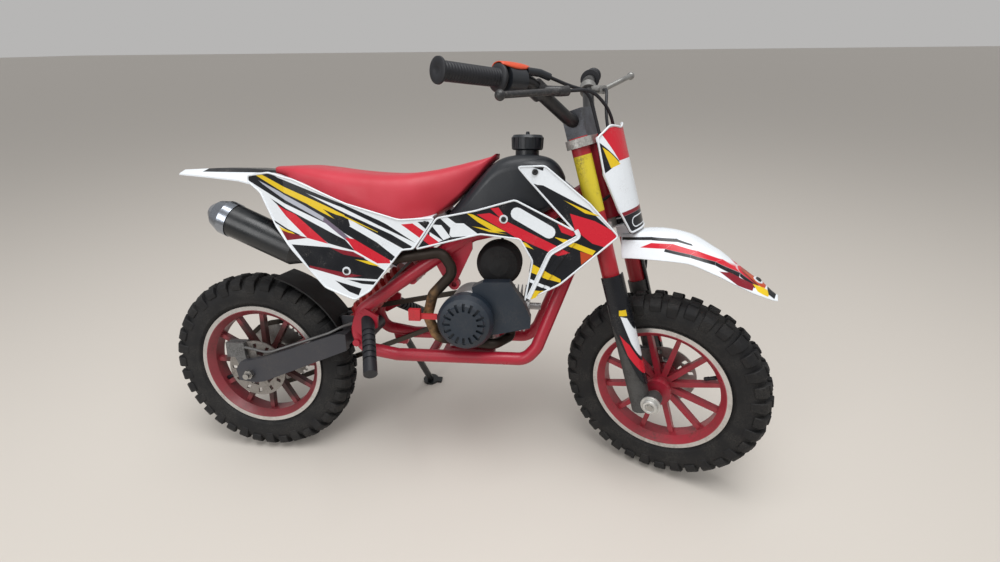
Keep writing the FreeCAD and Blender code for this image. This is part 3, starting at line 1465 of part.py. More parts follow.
node("main_frame", make_frame())
node("swingarm", make_swingarm())
node("rear_shock", make_shock())
node("rear_axle", make_axle("RearAxle", S.axle_half_length, (S.chain_offset + 3, S.arm_inner - S.seat_gap, S.arm_inner + S.arm_width + S.seat_gap)), REAR_WHEEL)
node("front_axle", make_axle("FrontAxle", S.axle_half_length + 10, (S.disc_offset + 4, S.fork_spacing - 14 - S.seat_gap, S.fork_spacing + 15 + S.seat_gap)), FRONT_WHEEL)
node("seat", make_seat())
TANK_SHAPE = make_tank()
node("fuel_tank", feature("Tank", TANK_SHAPE))
node("fuel_cap", make_cap())
node("rear_fender", make_tail())
node("inner_fender", make_inner_fender())
make_panels()
make_shrouds()

node("crankcase", make_crankcase(), ENGINE)
node("cylinder", make_cylinder(), ENGINE)
node("cooling_cowl", make_cowl(), ENGINE)
node("recoil_starter", make_starter(), ENGINE)
node("starter_handle", make_handle(), ENGINE)
node("clutch_cover", make_clutch(), ENGINE)
node("carburettor", make_carburettor(), ENGINE)
node("air_filter", make_filter())
node("exhaust_header", make_header())
muffler, muffler_cap = make_muffler()
node("muffler_body", muffler)
node("muffler_cap", muffler_cap)
node("footpegs", make_pegs())
outside = S.arm_inner - S.seat_gap
node("rear_caliper", make_caliper("RearCaliper", -1, -38, S.tyre_radius + 44, outside, REAR_BRACKET, (outside - 5, outside)))

node("triple_clamps", make_clamps(), STEERED)
node("fork_tubes", make_fork_tubes(), STEERED)
node("fork_sliders", make_sliders(), STEERED)
node("fork_guards", make_guards(), STEERED)
node("handlebar", make_bar(), STEERED)
node("grips", make_grips(), STEERED)
node("throttle_housing", make_throttle(), STEERED)
node("brake_levers", make_levers(), STEERED)
node("number_plate", make_plate(), STEERED)
node("front_fender", make_beak(), STEERED)
outside = S.fork_spacing - S.slider_radius - S.seat_gap
node("front_caliper", make_caliper("FrontCaliper", 1, -6, 46, outside, FRONT_BRACKET, (43, 62)), STEERED)
make_cables()
node("side_stand", make_stand())


# Place everything on its stand, then centre it on the ground.

def stand_up(shift):
    for obj, frame in NODES:
        local = LOCAL[obj.Name]
        obj.Placement = Placement(shift, Rotation()).multiply(STAND_POSE).multiply(frame).multiply(local)


LOCAL = {obj.Name: Placement(obj.Placement) for obj, frame in NODES}
stand_up(Vector())
doc.recompute()

for obj, frame in NODES:
    if obj.Shape.isNull() or not obj.Shape.Solids:
        raise RuntimeError(f"{obj.Label} is empty")
BOX = FreeCAD.BoundBox()
for obj, frame in NODES:
    BOX.add(obj.Shape.optimalBoundingBox(False, False))
SHIFT = Vector(-BOX.Center.x, -BOX.Center.y, -BOX.ZMin)
stand_up(SHIFT)
doc.recompute()

for obj in doc.Objects:
    if "Invalid" in obj.State or "Error" in obj.State:
        raise RuntimeError(f"{obj.Label} did not recompute: {obj.State}")
for obj, frame in NODES:
    shape = obj.Shape
    if shape.isNull() or not shape.isValid() or not shape.Solids:
        raise RuntimeError(f"{obj.Label} has no valid solid")

os.makedirs("parts", exist_ok=True)
for obj, frame in NODES:
    obj.Shape.exportStep(f"parts/{obj.Label}.step")
print(f"{len(NODES)} nodes, box {BOX.XLength:.0f} x {BOX.YLength:.0f} x {BOX.ZLength:.0f} mm, {LINKS} links")
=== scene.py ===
# %% [markdown]
# # A mini trail bike, dressed in Blender
# The solids of this bike were drawn in CAD and packed as a fixed frame.
# This lesson puts the real finishes on them, and swaps the plain ones for pieces with finer shapes.
# Every cell does one thing: a rim, a tyre, a strip of paint.

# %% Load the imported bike
import json
import math
import bmesh
import bpy
from mathutils import Matrix, Vector, noise


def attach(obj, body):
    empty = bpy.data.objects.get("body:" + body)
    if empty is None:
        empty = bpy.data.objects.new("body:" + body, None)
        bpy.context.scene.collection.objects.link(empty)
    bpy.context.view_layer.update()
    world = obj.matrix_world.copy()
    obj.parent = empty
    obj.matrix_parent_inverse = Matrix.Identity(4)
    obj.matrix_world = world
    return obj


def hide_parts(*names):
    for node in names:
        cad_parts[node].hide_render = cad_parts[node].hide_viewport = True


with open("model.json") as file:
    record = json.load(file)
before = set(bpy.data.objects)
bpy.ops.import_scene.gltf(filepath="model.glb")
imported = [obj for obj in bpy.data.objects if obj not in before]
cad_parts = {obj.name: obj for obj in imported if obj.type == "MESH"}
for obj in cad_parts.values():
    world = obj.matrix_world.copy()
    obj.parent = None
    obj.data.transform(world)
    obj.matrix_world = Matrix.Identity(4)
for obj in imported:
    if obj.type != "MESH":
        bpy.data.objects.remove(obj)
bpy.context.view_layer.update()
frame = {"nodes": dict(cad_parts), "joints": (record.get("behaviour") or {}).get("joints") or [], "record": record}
nodes = frame["nodes"]

# %% [markdown]
# ## Two rulers to measure with
# The bike leans on its stand and its bars are turned, so nothing on it lies along the world's axes.
# Its joints say how it stands: the rear axle gives its left side, and the steering axis gives its caster.
# From them come two rulers in millimetres. BIKE runs forward, left and up from the rear tyre's foot.
# STEER runs forward, left and up along the steering axis, and turns with the bars.

# %% Rulers from the joints
CASTER = math.radians(16.5)
TYRE_RADIUS = 200
FORK_OFFSET = 24
ANCHOR_HEIGHT = 0.425
AHEAD, LEFT, UP = (1, 0, 0), (0, 1, 0), (0, 0, 1)
joints = {j["name"]: j for j in frame["joints"]}


def joint_point(name):
    return Vector(joints[name]["pos_m"])


def joint_axis(name):
    return Vector(joints[name]["axis"]).normalized()


def ruler(x, y, z, origin):
    """A matrix that takes millimetres along three directions to the world's metres."""
    turn = Matrix((x, y, z)).transposed().to_4x4()
    return Matrix.Translation(origin) @ turn @ Matrix.Scale(0.001, 4)


steer_up = joint_axis("steering")
bike_left = joint_axis("rear_wheel_spin")
steer_ahead = bike_left.cross(steer_up)
bike_ahead = steer_ahead * math.cos(CASTER) - steer_up * math.sin(CASTER)
bike_up = steer_ahead * math.sin(CASTER) + steer_up * math.cos(CASTER)
BIKE = ruler(bike_ahead, bike_left, bike_up, joint_point("rear_wheel_spin") - bike_up * 0.001 * TYRE_RADIUS)
turned_left = joint_axis("front_wheel_spin")
STEER = ruler(turned_left.cross(steer_up), turned_left, steer_up, joint_point("steering") - steer_up * ANCHOR_HEIGHT)
REAR_WHEEL = BIKE @ Matrix.Translation((0, 0, TYRE_RADIUS))
FRONT_WHEEL = STEER @ Matrix.Translation((FORK_OFFSET, 0, 0))
print("bike ruler", [round(v, 4) for v in BIKE.translation], "steering ruler", [round(v, 4) for v in STEER.translation])

# %% [markdown]
# ## A small kit for paint
# A finish is a Principled shader fed by noise: colour that varies, gloss that varies, and bump.
# A recipe class keeps each finish to a few lines, because it remembers the node tree and links for us.
# Every recipe reads the object's own coordinates, so the paint rides with its piece.

# %% The recipe class


class Recipe:
    """A material under construction."""

    def __init__(self, name):
        self.material = bpy.data.materials.new(name)
        self.material.use_nodes = True
        self.tree = self.material.node_tree
        self.tree.nodes.clear()
        self.shader = self.node("ShaderNodeBsdfPrincipled")
        output = self.node("ShaderNodeOutputMaterial")
        self.link(self.shader.outputs[0], output.inputs[0])
        self.place = self.node("ShaderNodeTexCoord").outputs["Object"]
        print("finish:", name)

    def node(self, kind, **settings):
        made = self.tree.nodes.new(kind)
        for key, value in settings.items():
            setattr(made, key, value)
        return made

    def link(self, output, socket):
        self.tree.links.new(output, socket)

    def fill(self, socket, value):
        """Sets a socket to a number or colour, or links another socket to it."""
        if isinstance(value, bpy.types.NodeSocket):
            self.link(value, socket)
        elif isinstance(value, (tuple, list)) and len(value) == 3 and socket.type == "RGBA":
            socket.default_value = (*value, 1)
        else:
            socket.default_value = value

    def maths(self, operation, *values, clamp=False):
        made = self.node("ShaderNodeMath", operation=operation, use_clamp=clamp)
        for socket, value in zip(made.inputs, values):
            self.fill(socket, value)
        return made.outputs[0]

    def noise(self, scale, detail=4, rough=0.55):
        made = self.node("ShaderNodeTexNoise")
        self.link(self.place, made.inputs["Vector"])
        self.fill(made.inputs["Scale"], scale)
        self.fill(made.inputs["Detail"], detail)
        self.fill(made.inputs["Roughness"], rough)
        return made.outputs[0]

    def cells(self, scale):
        made = self.node("ShaderNodeTexVoronoi")
        self.link(self.place, made.inputs["Vector"])
        self.fill(made.inputs["Scale"], scale)
        return made.outputs[0]

    def between(self, value, low, high, to_low=0.0, to_high=1.0):
        made = self.node("ShaderNodeMapRange")
        for socket, number in zip(made.inputs, (value, low, high, to_low, to_high)):
            self.fill(socket, number)
        return made.outputs[0]

    def times(self, one, other):
        return self.maths("MULTIPLY", one, other)

    def stains(self, *two):
        """1 where two noises are both high. Each is a scale, a detail, and the limits it rises between."""
        return self.times(*(self.between(self.noise(n[0], n[1]), n[2], n[3]) for n in two))

    def mix(self, amount, one, other):
        made = self.node("ShaderNodeMix", data_type="RGBA")
        self.fill(made.inputs[0], amount)
        self.fill(made.inputs[6], one)
        self.fill(made.inputs[7], other)
        return made.outputs[2]

    def bump(self, height, strength, depth):
        made = self.node("ShaderNodeBump")
        made.inputs["Strength"].default_value = strength
        made.inputs["Distance"].default_value = depth
        self.link(height, made.inputs["Height"])
        self.link(made.outputs[0], self.shader.inputs["Normal"])

    def set(self, **sockets):
        for name, value in sockets.items():
            self.fill(self.shader.inputs[name.replace("_", " ")], value)


# %% [markdown]
# ## Everyday finishes
# Most of the bike is one of five things: paint, bare or cast metal, moulded plastic, rubber and vinyl.
# One function makes them all. It takes a colour, a dirt colour, the gloss and the size of the grain,
# because a worn bike differs from a new one mainly in where its dirt sits.

# %% One function for the everyday finishes


def finish(name, colour, dirt=(0.05, 0.04, 0.03), dirty=0.25, gloss=(0.3, 0.55), metal=0.0, grain=900, depth=0.00004):
    """A worn, everyday surface. The grain is a scale of noise per metre, and its depth is in metres."""
    made = Recipe(name)
    patches = made.noise(18, 6, 0.62)
    specks = made.noise(260, 5, 0.7)
    grime = made.times(made.between(patches, 0.45, 0.72), made.between(specks, 0.4, 0.7))
    shade = made.mix(made.between(specks, 0.3, 0.7, 0, 0.25), colour, tuple(c * 0.7 for c in colour))
    made.set(Base_Color=made.mix(made.maths("MULTIPLY", grime, dirty, clamp=True), shade, dirt))
    made.set(Roughness=made.between(patches, 0.3, 0.7, *gloss), Metallic=metal)
    made.bump(made.noise(grain, 3), 0.6, depth)
    return made.material


LOOKS = {
    "frame_red": finish("worn red frame paint", (0.4, 0.014, 0.034), dirty=0.5, gloss=(0.22, 0.5)),
    "arm_grey": finish("grey swingarm paint", (0.035, 0.036, 0.044), (0.12, 0.1, 0.08), 0.5, (0.35, 0.6)),
    "shock_red": finish("red spring paint", (0.4, 0.02, 0.02), dirty=0.6),
    "steel": finish("zinc plated steel", (0.42, 0.41, 0.39), (0.12, 0.08, 0.05), 0.7, (0.3, 0.55), 1.0),
    "bright_zinc": finish("bright zinc", (0.62, 0.62, 0.6), (0.25, 0.22, 0.18), 0.5, (0.3, 0.5), 0.8),
    "disc_steel": finish("dirty brake disc", (0.32, 0.3, 0.28), (0.07, 0.05, 0.035), 0.9, (0.35, 0.6), 0.9),
    "chain_steel": finish("oily chain", (0.07, 0.06, 0.05), (0.02, 0.015, 0.012), 0.9, (0.3, 0.6), 0.8),
    "cast_alloy": finish("cast alloy", (0.5, 0.5, 0.5), (0.12, 0.11, 0.1), 0.6, (0.38, 0.6), 0.9, 700, 0.00008),
    "caliper_alloy": finish("dirty alloy", (0.2, 0.2, 0.2), (0.04, 0.033, 0.027), 0.9, (0.45, 0.7), 0.8),
    "slider_grey": finish("dirty slider alloy", (0.1, 0.1, 0.1), (0.03, 0.028, 0.025), 0.9, (0.4, 0.65), 0.7),
    "tank_black": finish("black moulded plastic", (0.013, 0.016, 0.021), (0.09, 0.09, 0.09), 0.25, (0.28, 0.5)),
    "engine_plastic": finish("blue black engine plastic", (0.012, 0.02, 0.032), (0.1, 0.09, 0.08), 0.35,
                             (0.35, 0.55)),
    "filter_black": finish("dusty filter plastic", (0.006, 0.006, 0.007), (0.05, 0.045, 0.04), 0.4, (0.6, 0.85)),
    "handle_red": finish("red pull handle", (0.5, 0.02, 0.03), dirty=0.6, gloss=(0.4, 0.6)),
    "cover_orange": finish("orange throttle cover", (0.62, 0.07, 0.02), dirty=0.4, gloss=(0.3, 0.5)),
    "muffler_black": finish("black silencer enamel", (0.008, 0.01, 0.012), (0.07, 0.06, 0.05), 0.3, (0.2, 0.45)),
    # The chrome cap's dark, blue tinted colour is a painted dark reflection.
    "muffler_silver": finish("chrome cap with painted dark reflection", (0.34, 0.37, 0.42), (0.08, 0.075, 0.07), 0.6, (0.12, 0.32), 1.0),
    "bar_black": finish("black bar enamel", (0.012, 0.012, 0.013), (0.16, 0.15, 0.14), 0.45, (0.3, 0.5)),
    "rubber_black": finish("black grip rubber", (0.008, 0.009, 0.013), (0.035, 0.033, 0.032), 0.3, (0.45, 0.7)),
    "plastic_white": finish("white moulded plastic", (0.74, 0.78, 0.82), (0.35, 0.33, 0.3), 0.2, (0.18, 0.35)),
}
print("everyday finishes", len(LOOKS))

# %% [markdown]
# ## Tyre rubber
# Off-road tyres are matt black with pale dust in the pores and on the sidewall.
# Dust sits where a fine noise is high, and a second, broader noise decides where the tyre looks grey.

# %% Tyre rubber
rubber = Recipe("dusty tyre rubber")
dust = rubber.stains((25, 6, 0.4, 0.75), (400, 4, 0.35, 0.7))
rubber.set(Base_Color=rubber.mix(dust, (0.007, 0.007, 0.008), (0.042, 0.039, 0.035)), Roughness=0.66)
rubber.set(Specular_IOR_Level=0.35)
rubber.bump(rubber.noise(900, 4), 0.5, 0.0001)
LOOKS["tyre_rubber"] = rubber.material

# %% [markdown]
# ## Seat vinyl
# The cover is smooth red vinyl with a fine leather grain and a soft sheen.
# Voronoi cells give the grain: they look like the small pebbles pressed into vinyl.

# %% Seat vinyl
vinyl = Recipe("red seat vinyl")
fade = vinyl.between(vinyl.noise(9, 3), 0.35, 0.7)
vinyl.set(Base_Color=vinyl.mix(fade, (0.43, 0.016, 0.03), (0.5, 0.028, 0.05)), Sheen_Weight=0.04)
vinyl.set(Roughness=vinyl.between(vinyl.noise(40, 4), 0.3, 0.7, 0.42, 0.58))
vinyl.bump(vinyl.maths("ADD", vinyl.cells(700), vinyl.times(vinyl.noise(50, 3), 1.2)), 0.35, 0.00025)
LOOKS["seat_vinyl"] = vinyl.material

# %% [markdown]
# ## Wheel paint with a polished flange
# The cast wheels are red: the front one all over, the rear one on its barrel, with nearly black spokes.
# The outer ring of both is bare, polished metal.
# The distance from the axle tells all these apart, so one material does them, in the wheel's own ruler.

# %% Distance from a line, in a ruler's millimetres
FLANGE_RADIUS = 125
BARREL = (92, 104)


def along(recipe, matrix, direction, offset=0.0):
    """How far a surface point lies along a direction of a ruler, in millimetres, plus an offset."""
    back = matrix.inverted()
    dot = recipe.node("ShaderNodeVectorMath", operation="DOT_PRODUCT")
    recipe.link(recipe.place, dot.inputs[0])
    dot.inputs[1].default_value = Vector(direction) @ back.to_3x3()
    return recipe.maths("ADD", dot.outputs["Value"], Vector(direction).dot(back.translation) + offset)


def from_axle(recipe, wheel):
    """Distance from a wheel's axle."""
    x, z = (along(recipe, wheel, way) for way in (AHEAD, UP))
    return recipe.maths("SQRT", recipe.maths("ADD", recipe.times(x, x), recipe.times(z, z)))


def wheel_paint(name, wheel, spokes, barrel):
    """Paint that goes from the spokes' colour to the barrel's, with a bare ring round it."""
    made = Recipe(name)
    radius = from_axle(made, wheel)
    ring = made.between(radius, FLANGE_RADIUS, FLANGE_RADIUS + 1)
    patches = made.noise(22, 6, 0.65)
    grime = made.times(made.between(patches, 0.42, 0.75), made.between(made.noise(200, 5), 0.35, 0.7))
    paint = made.mix(made.between(radius, *BARREL), spokes, barrel)
    red = made.mix(made.times(grime, 0.85), paint, (0.06, 0.04, 0.032))
    bare = made.mix(made.times(grime, 0.8), (0.6, 0.58, 0.56), (0.2, 0.16, 0.13))
    made.set(Base_Color=made.mix(ring, red, bare), Metallic=made.times(ring, 0.9))
    made.set(Roughness=made.between(patches, 0.3, 0.7, 0.25, 0.5))
    made.bump(made.noise(500, 3), 0.4, 0.00005)
    return made.material


WHEEL_LOOKS = {
    "front_rim": wheel_paint("front wheel paint", FRONT_WHEEL, (0.3, 0.012, 0.028), (0.34, 0.03, 0.045)),
    "rear_rim": wheel_paint("rear wheel paint", REAR_WHEEL, (0.055, 0.012, 0.012), (0.24, 0.035, 0.045)),
}

# %% [markdown]
# ## Fork paint with its yellow band
# Each upper fork tube is red with a yellow sleeve between the clamps.

# %% Fork paint
BAND = (380, 480)
fork = Recipe("fork tube paint")
height = along(fork, STEER, UP)
band = fork.times(fork.between(height, BAND[0], BAND[0] + 1), fork.between(height, BAND[1], BAND[1] + 1, 1, 0))
wear = fork.stains((30, 6, 0.5, 0.75), (300, 5, 0.4, 0.7))
fork_base = fork.mix(band, (0.36, 0.012, 0.022), (0.62, 0.5, 0.03))
fork.set(Base_Color=fork.mix(wear, fork_base, (0.06, 0.03, 0.03)), Roughness=0.35)
fork.bump(fork.noise(500, 3), 0.4, 0.00005)

# %% [markdown]
# ## Weathered clamp and bright lever
# The upper clamp is bright cast alloy, but the block that holds the bar is grey and weathered.
# The left lever is bare metal while the right one is black. Height and side tell them apart.

# %% Clamp and lever finishes
CLAMP_TOP = 510
clamp = Recipe("cast clamp")
upper_block = clamp.between(along(clamp, STEER, UP), CLAMP_TOP - 0.4, CLAMP_TOP)
weather = clamp.stains((40, 6, 0.4, 0.7), (350, 5, 0.35, 0.65))
clamp_base = clamp.mix(upper_block, (0.5, 0.49, 0.47), (0.13, 0.14, 0.16))
clamp.set(Base_Color=clamp.mix(weather, clamp_base, (0.06, 0.055, 0.05)), Metallic=0.75)
clamp.set(Roughness=clamp.between(clamp.noise(60, 4), 0.3, 0.7, 0.35, 0.65))
clamp.bump(clamp.noise(420, 4), 0.6, 0.0002)

lever = Recipe("lever enamel")
left_side = lever.between(along(lever, STEER, LEFT), 0, 1)
lever_wear = lever.between(lever.noise(220, 5), 0.5, 0.7, 0, 0.4)
lever_base = lever.mix(left_side, (0.02, 0.02, 0.022), (0.3, 0.3, 0.29))
lever.set(Base_Color=lever.mix(lever_wear, lever_base, (0.12, 0.11, 0.1)), Metallic=lever.times(left_side, 0.8))
lever.set(Roughness=0.42)
lever.bump(lever.noise(600, 3), 0.4, 0.00005)

# %% [markdown]
# ## The header's heat colours and painted shade
# The exhaust pipe is painted nearly black, as painted shade where its runs lie in shadow, and golden brown from heat at
# its low, rear end.
# Two soft limits, one along the bike and one in height, say where the gold begins.

# %% Header finish
header = Recipe("header with heat colour and painted shade")
rearward = header.between(along(header, BIKE, AHEAD), 412, 392)
gold = header.times(rearward, header.between(along(header, BIKE, UP), 425, 395))
gold = header.times(gold, header.between(header.noise(60, 4), 0.3, 0.6))
# The nearly black base colour is painted shade; the golden brown is heat colour.
header.set(Base_Color=header.mix(gold, (0.028, 0.02, 0.015), (0.34, 0.2, 0.09)), Metallic=0.6)
header.set(Roughness=header.between(header.noise(50, 5), 0.3, 0.7, 0.4, 0.65))
header.bump(header.noise(500, 4), 0.6, 0.0001)

# %% [markdown]
# ## Every CAD node gets its finish
# The record names a material slot for each node, so the finishes are handed out by that list.
# A few nodes differ from their slot, such as the wheels, the fork, the header and the rear disc.

# %% Hand out the finishes
OWN_LOOKS = {
    **WHEEL_LOOKS, "fork_tubes": fork.material, "fork_sliders": LOOKS["slider_grey"], "triple_clamps": clamp.material,
    "brake_levers": lever.material, "rear_brake_cable": LOOKS["caliper_alloy"], "exhaust_header": header.material,
    "air_filter": LOOKS["filter_black"], "inner_fender": LOOKS["filter_black"], "rear_disc": LOOKS["disc_steel"],
}
slots = {part["node"]: part["material_slot"] for part in frame["record"]["subparts"]}
for name, piece in nodes.items():
    piece.data.materials.clear()
    piece.data.materials.append(OWN_LOOKS.get(name) or LOOKS[slots[name]])
print("painted CAD nodes", len(nodes))

# %% [markdown]
# ## Building pieces in millimetres
# New pieces are written in one of the two rulers and turned into world metres at once.
# They keep the identity transform, so their object coordinates agree with the CAD nodes'.
# Most are grids: rows of points, woven together by faces, and some are closed at both ends.

# %% From points and faces to a piece
SAME_POINT = 1e-7
ALL_SMOOTH = 180
link = bpy.context.scene.collection.objects.link


def place(name, data, body, replaces=()):
    """Puts a piece in the scene, tied to a body."""
    piece = bpy.data.objects.new(name, data)
    link(piece)
    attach(piece, body)
    if replaces:
        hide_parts(*replaces)
    print(name, "on", body)
    return piece


def piece_from(name, form, matrix, body, slot, look=None, crease=ALL_SMOOTH, replaces=()):
    """A mesh piece from points in a ruler's millimetres and faces. Bends over the crease angle stay hard."""
    points, faces = form
    mesh = bpy.data.meshes.new(name)
    mesh.from_pydata([matrix @ Vector(p) for p in points], [], faces)
    mesh.validate()
    cleaner = bmesh.new()
    cleaner.from_mesh(mesh)
    bmesh.ops.remove_doubles(cleaner, verts=cleaner.verts, dist=SAME_POINT)
    bmesh.ops.recalc_face_normals(cleaner, faces=cleaner.faces)
    cleaner.to_mesh(mesh)
    cleaner.free()
    mesh.materials.append(look or LOOKS[slot])
    for face in mesh.polygons:
        face.use_smooth = crease > 0
    if 0 < crease < ALL_SMOOTH:
        mesh.set_sharp_from_angle(angle=math.radians(crease))
    return place(name, mesh, body, replaces)


def woven(rows, width, closed=False):
    """Faces between rows of points. Closed rows are rings."""
    return [(i * width + k, i * width + (k + 1) % width, (i + 1) * width + (k + 1) % width, (i + 1) * width + k)
            for i in range(rows - 1) for k in range(width if closed else width - 1)]


def capped(rows, width):
    """Faces of rings of points, with a face over each end."""
    last = (rows - 1) * width
    return woven(rows, width, True) + [tuple(range(width)), tuple(last + k for k in reversed(range(width)))]


def spread(first, last, steps):
    """Places spread evenly from one to another."""
    return [first + (last - first) * i / steps for i in range(steps + 1)]


def sharpen(piece, width, angle=35):
    """Rounds the hard edges a little, so that they catch the light."""
    bevel = piece.modifiers.new("edges", "BEVEL")
    bevel.width = width
    bevel.segments = 2
    bevel.limit_method = "ANGLE"
    bevel.angle_limit = math.radians(angle)
    bevel.harden_normals = False


def thicken(piece, thickness, offset=0):
    """Gives a sheet its thickness, in metres."""
    sheet = piece.modifiers.new("sheet", "SOLIDIFY")
    sheet.thickness = thickness
    sheet.offset = offset


# %% [markdown]
# ## The seat
# The real seat is a foam block under stretched vinyl: crowned on top, tucked in along its lower edge.
# A grid of cross sections along the bike gives that form, with the crown and the tuck as curves.
# The sections come from a short table: place along the bike, half width, lower edge and top.

# %% Seat sections and mesh
SEAT = [
    (97, 52, 603, 622), (125, 61, 595, 623), (160, 70, 582, 621.5), (235, 79, 548, 613.5), (300, 80, 529, 609.5),
    (345, 76, 522, 610.5), (400, 63, 533, 618), (445, 53.5, 569, 628), (480, 45, 606, 637), (510, 35, 637.5, 644),
]
SEAT_STEPS, SEAT_AROUND = 70, 48
TUCK = 10
WRINKLE = 0.8


def smooth_row(rows, x):
    """Reads a table at any place, with a smooth curve through its rows."""
    x = min(max(x, rows[0][0]), rows[-1][0])
    i = min(max(k for k in range(len(rows)) if rows[k][0] <= x), len(rows) - 2)
    t = (x - rows[i][0]) / (rows[i + 1][0] - rows[i][0])
    before, after = rows[max(i - 1, 0)], rows[min(i + 2, len(rows) - 1)]
    out = []
    for a, b, c, d in zip(before[1:], rows[i][1:], rows[i + 1][1:], after[1:]):
        out.append((2 * t**3 - 3 * t**2 + 1) * b + (t**3 - 2 * t**2 + t) * (c - a) / 2
                   + (3 * t**2 - 2 * t**3) * c + (t**3 - t**2) * (d - b) / 2)
    return out


def seat_mesh():
    points = []
    for i, x in enumerate(spread(SEAT[0][0], SEAT[-1][0], SEAT_STEPS)):
        half, low, top = smooth_row(SEAT, x)
        belly = low + TUCK
        end = min(1.0, 6 * min(i, SEAT_STEPS - i) / SEAT_STEPS + 0.35)
        for k in range(SEAT_AROUND):
            angle = 2 * math.pi * k / SEAT_AROUND
            c, s = math.cos(angle), math.sin(angle)
            y = half * math.copysign(abs(c) ** 0.38, c)
            if s > 0:
                z = belly + (top - belly) * s**0.5 * (0.9 + 0.1 * end)
            else:
                z = belly - TUCK * abs(s) ** 0.7
                y *= 1 - 0.06 * abs(s)
            wrinkle = WRINKLE * noise.noise(Vector((x * 0.02, y * 0.03, z * 0.05)))
            points.append((x, y + wrinkle * c, z))
    return points, capped(SEAT_STEPS + 1, SEAT_AROUND)


seat = piece_from("seat_cover", seat_mesh(), BIKE, "chassis", "seat_vinyl", replaces=["seat"])

# %% [markdown]
# ## Printed stripes as paint, not as pictures
# The plastics carry a printed film of stripes. Each stripe is a straight sided patch, so a patch is painted
# where a surface point lies inside all of its edges. That is a few dot products and a minimum.
# No image is needed, and a stripe stays sharp at any distance.

# %% Patches inside straight edges
# Black, red, dark red, yellow, orange, white, grey and a purple grey.
INKS = {
    "K": (0.007, 0.008, 0.011), "R": (0.56, 0.014, 0.03), "M": (0.2, 0.01, 0.02), "Y": (0.72, 0.5, 0.015),
    "O": (0.45, 0.06, 0.015), "W": (0.74, 0.78, 0.82), "G": (0.4, 0.42, 0.48), "P": (0.15, 0.12, 0.17),
}
SOFT = 0.35


def hull(corners):
    """The outline round a set of corners, anticlockwise."""
    points = [Vector(p) for p in sorted(set(corners))]
    ring = []
    for path in (points, points[::-1]):
        out = []
        for p in path:
            while len(out) > 1 and (out[-1] - out[-2]).cross(p - out[-1]) <= 0:
                out.pop()
            out.append(p)
        ring += out[:-1]
    return ring


def patch(recipe, matrix, corners, axes):
    """1 inside a straight sided patch and 0 outside, in the plane of two of the ruler's axes."""
    ring = hull(corners)
    inside = None
    for (ax, ay), (bx, by) in zip(ring, ring[1:] + ring[:1]):
        length = math.hypot(bx - ax, by - ay)
        normal = [0.0, 0.0, 0.0]
        normal[axes[0]] = -(by - ay) / length
        normal[axes[1]] = (bx - ax) / length
        offset = -(normal[axes[0]] * ax + normal[axes[1]] * ay)
        distance = along(recipe, matrix, normal, offset)
        inside = distance if inside is None else recipe.maths("MINIMUM", inside, distance)
    return recipe.between(inside, -SOFT, SOFT)


def printed(name, matrix, base, patches, axes=(0, 2)):
    """Glossy film: a base colour and patches laid over it, each over the ones before."""
    made = Recipe(name)
    colour = INKS[base]
    for ink, *corners in patches:
        colour = made.mix(patch(made, matrix, corners, axes), colour, INKS[ink])
    scuffs = made.stains((30, 6, 0.55, 0.75), (500, 4, 0.5, 0.7))
    made.set(Base_Color=made.mix(made.times(scuffs, 0.5), colour, (0.3, 0.28, 0.26)))
    made.set(Roughness=made.between(made.noise(35, 5), 0.3, 0.7, 0.16, 0.34), Specular_IOR_Level=0.35)
    made.bump(made.noise(60, 3), 0.25, 0.0003)
    return made.material


def wrap(film, *names):
    """Lays a film over CAD nodes."""
    for name in names:
        nodes[name].data.materials[0] = film
    print(film.name, "on", *names)


# %% [markdown]
# ## Side panel film
# The corners of each patch are places on the panel: forward of the rear axle and above the ground.
# Black and white stay plain in two broad fields, and the stripes run round them.

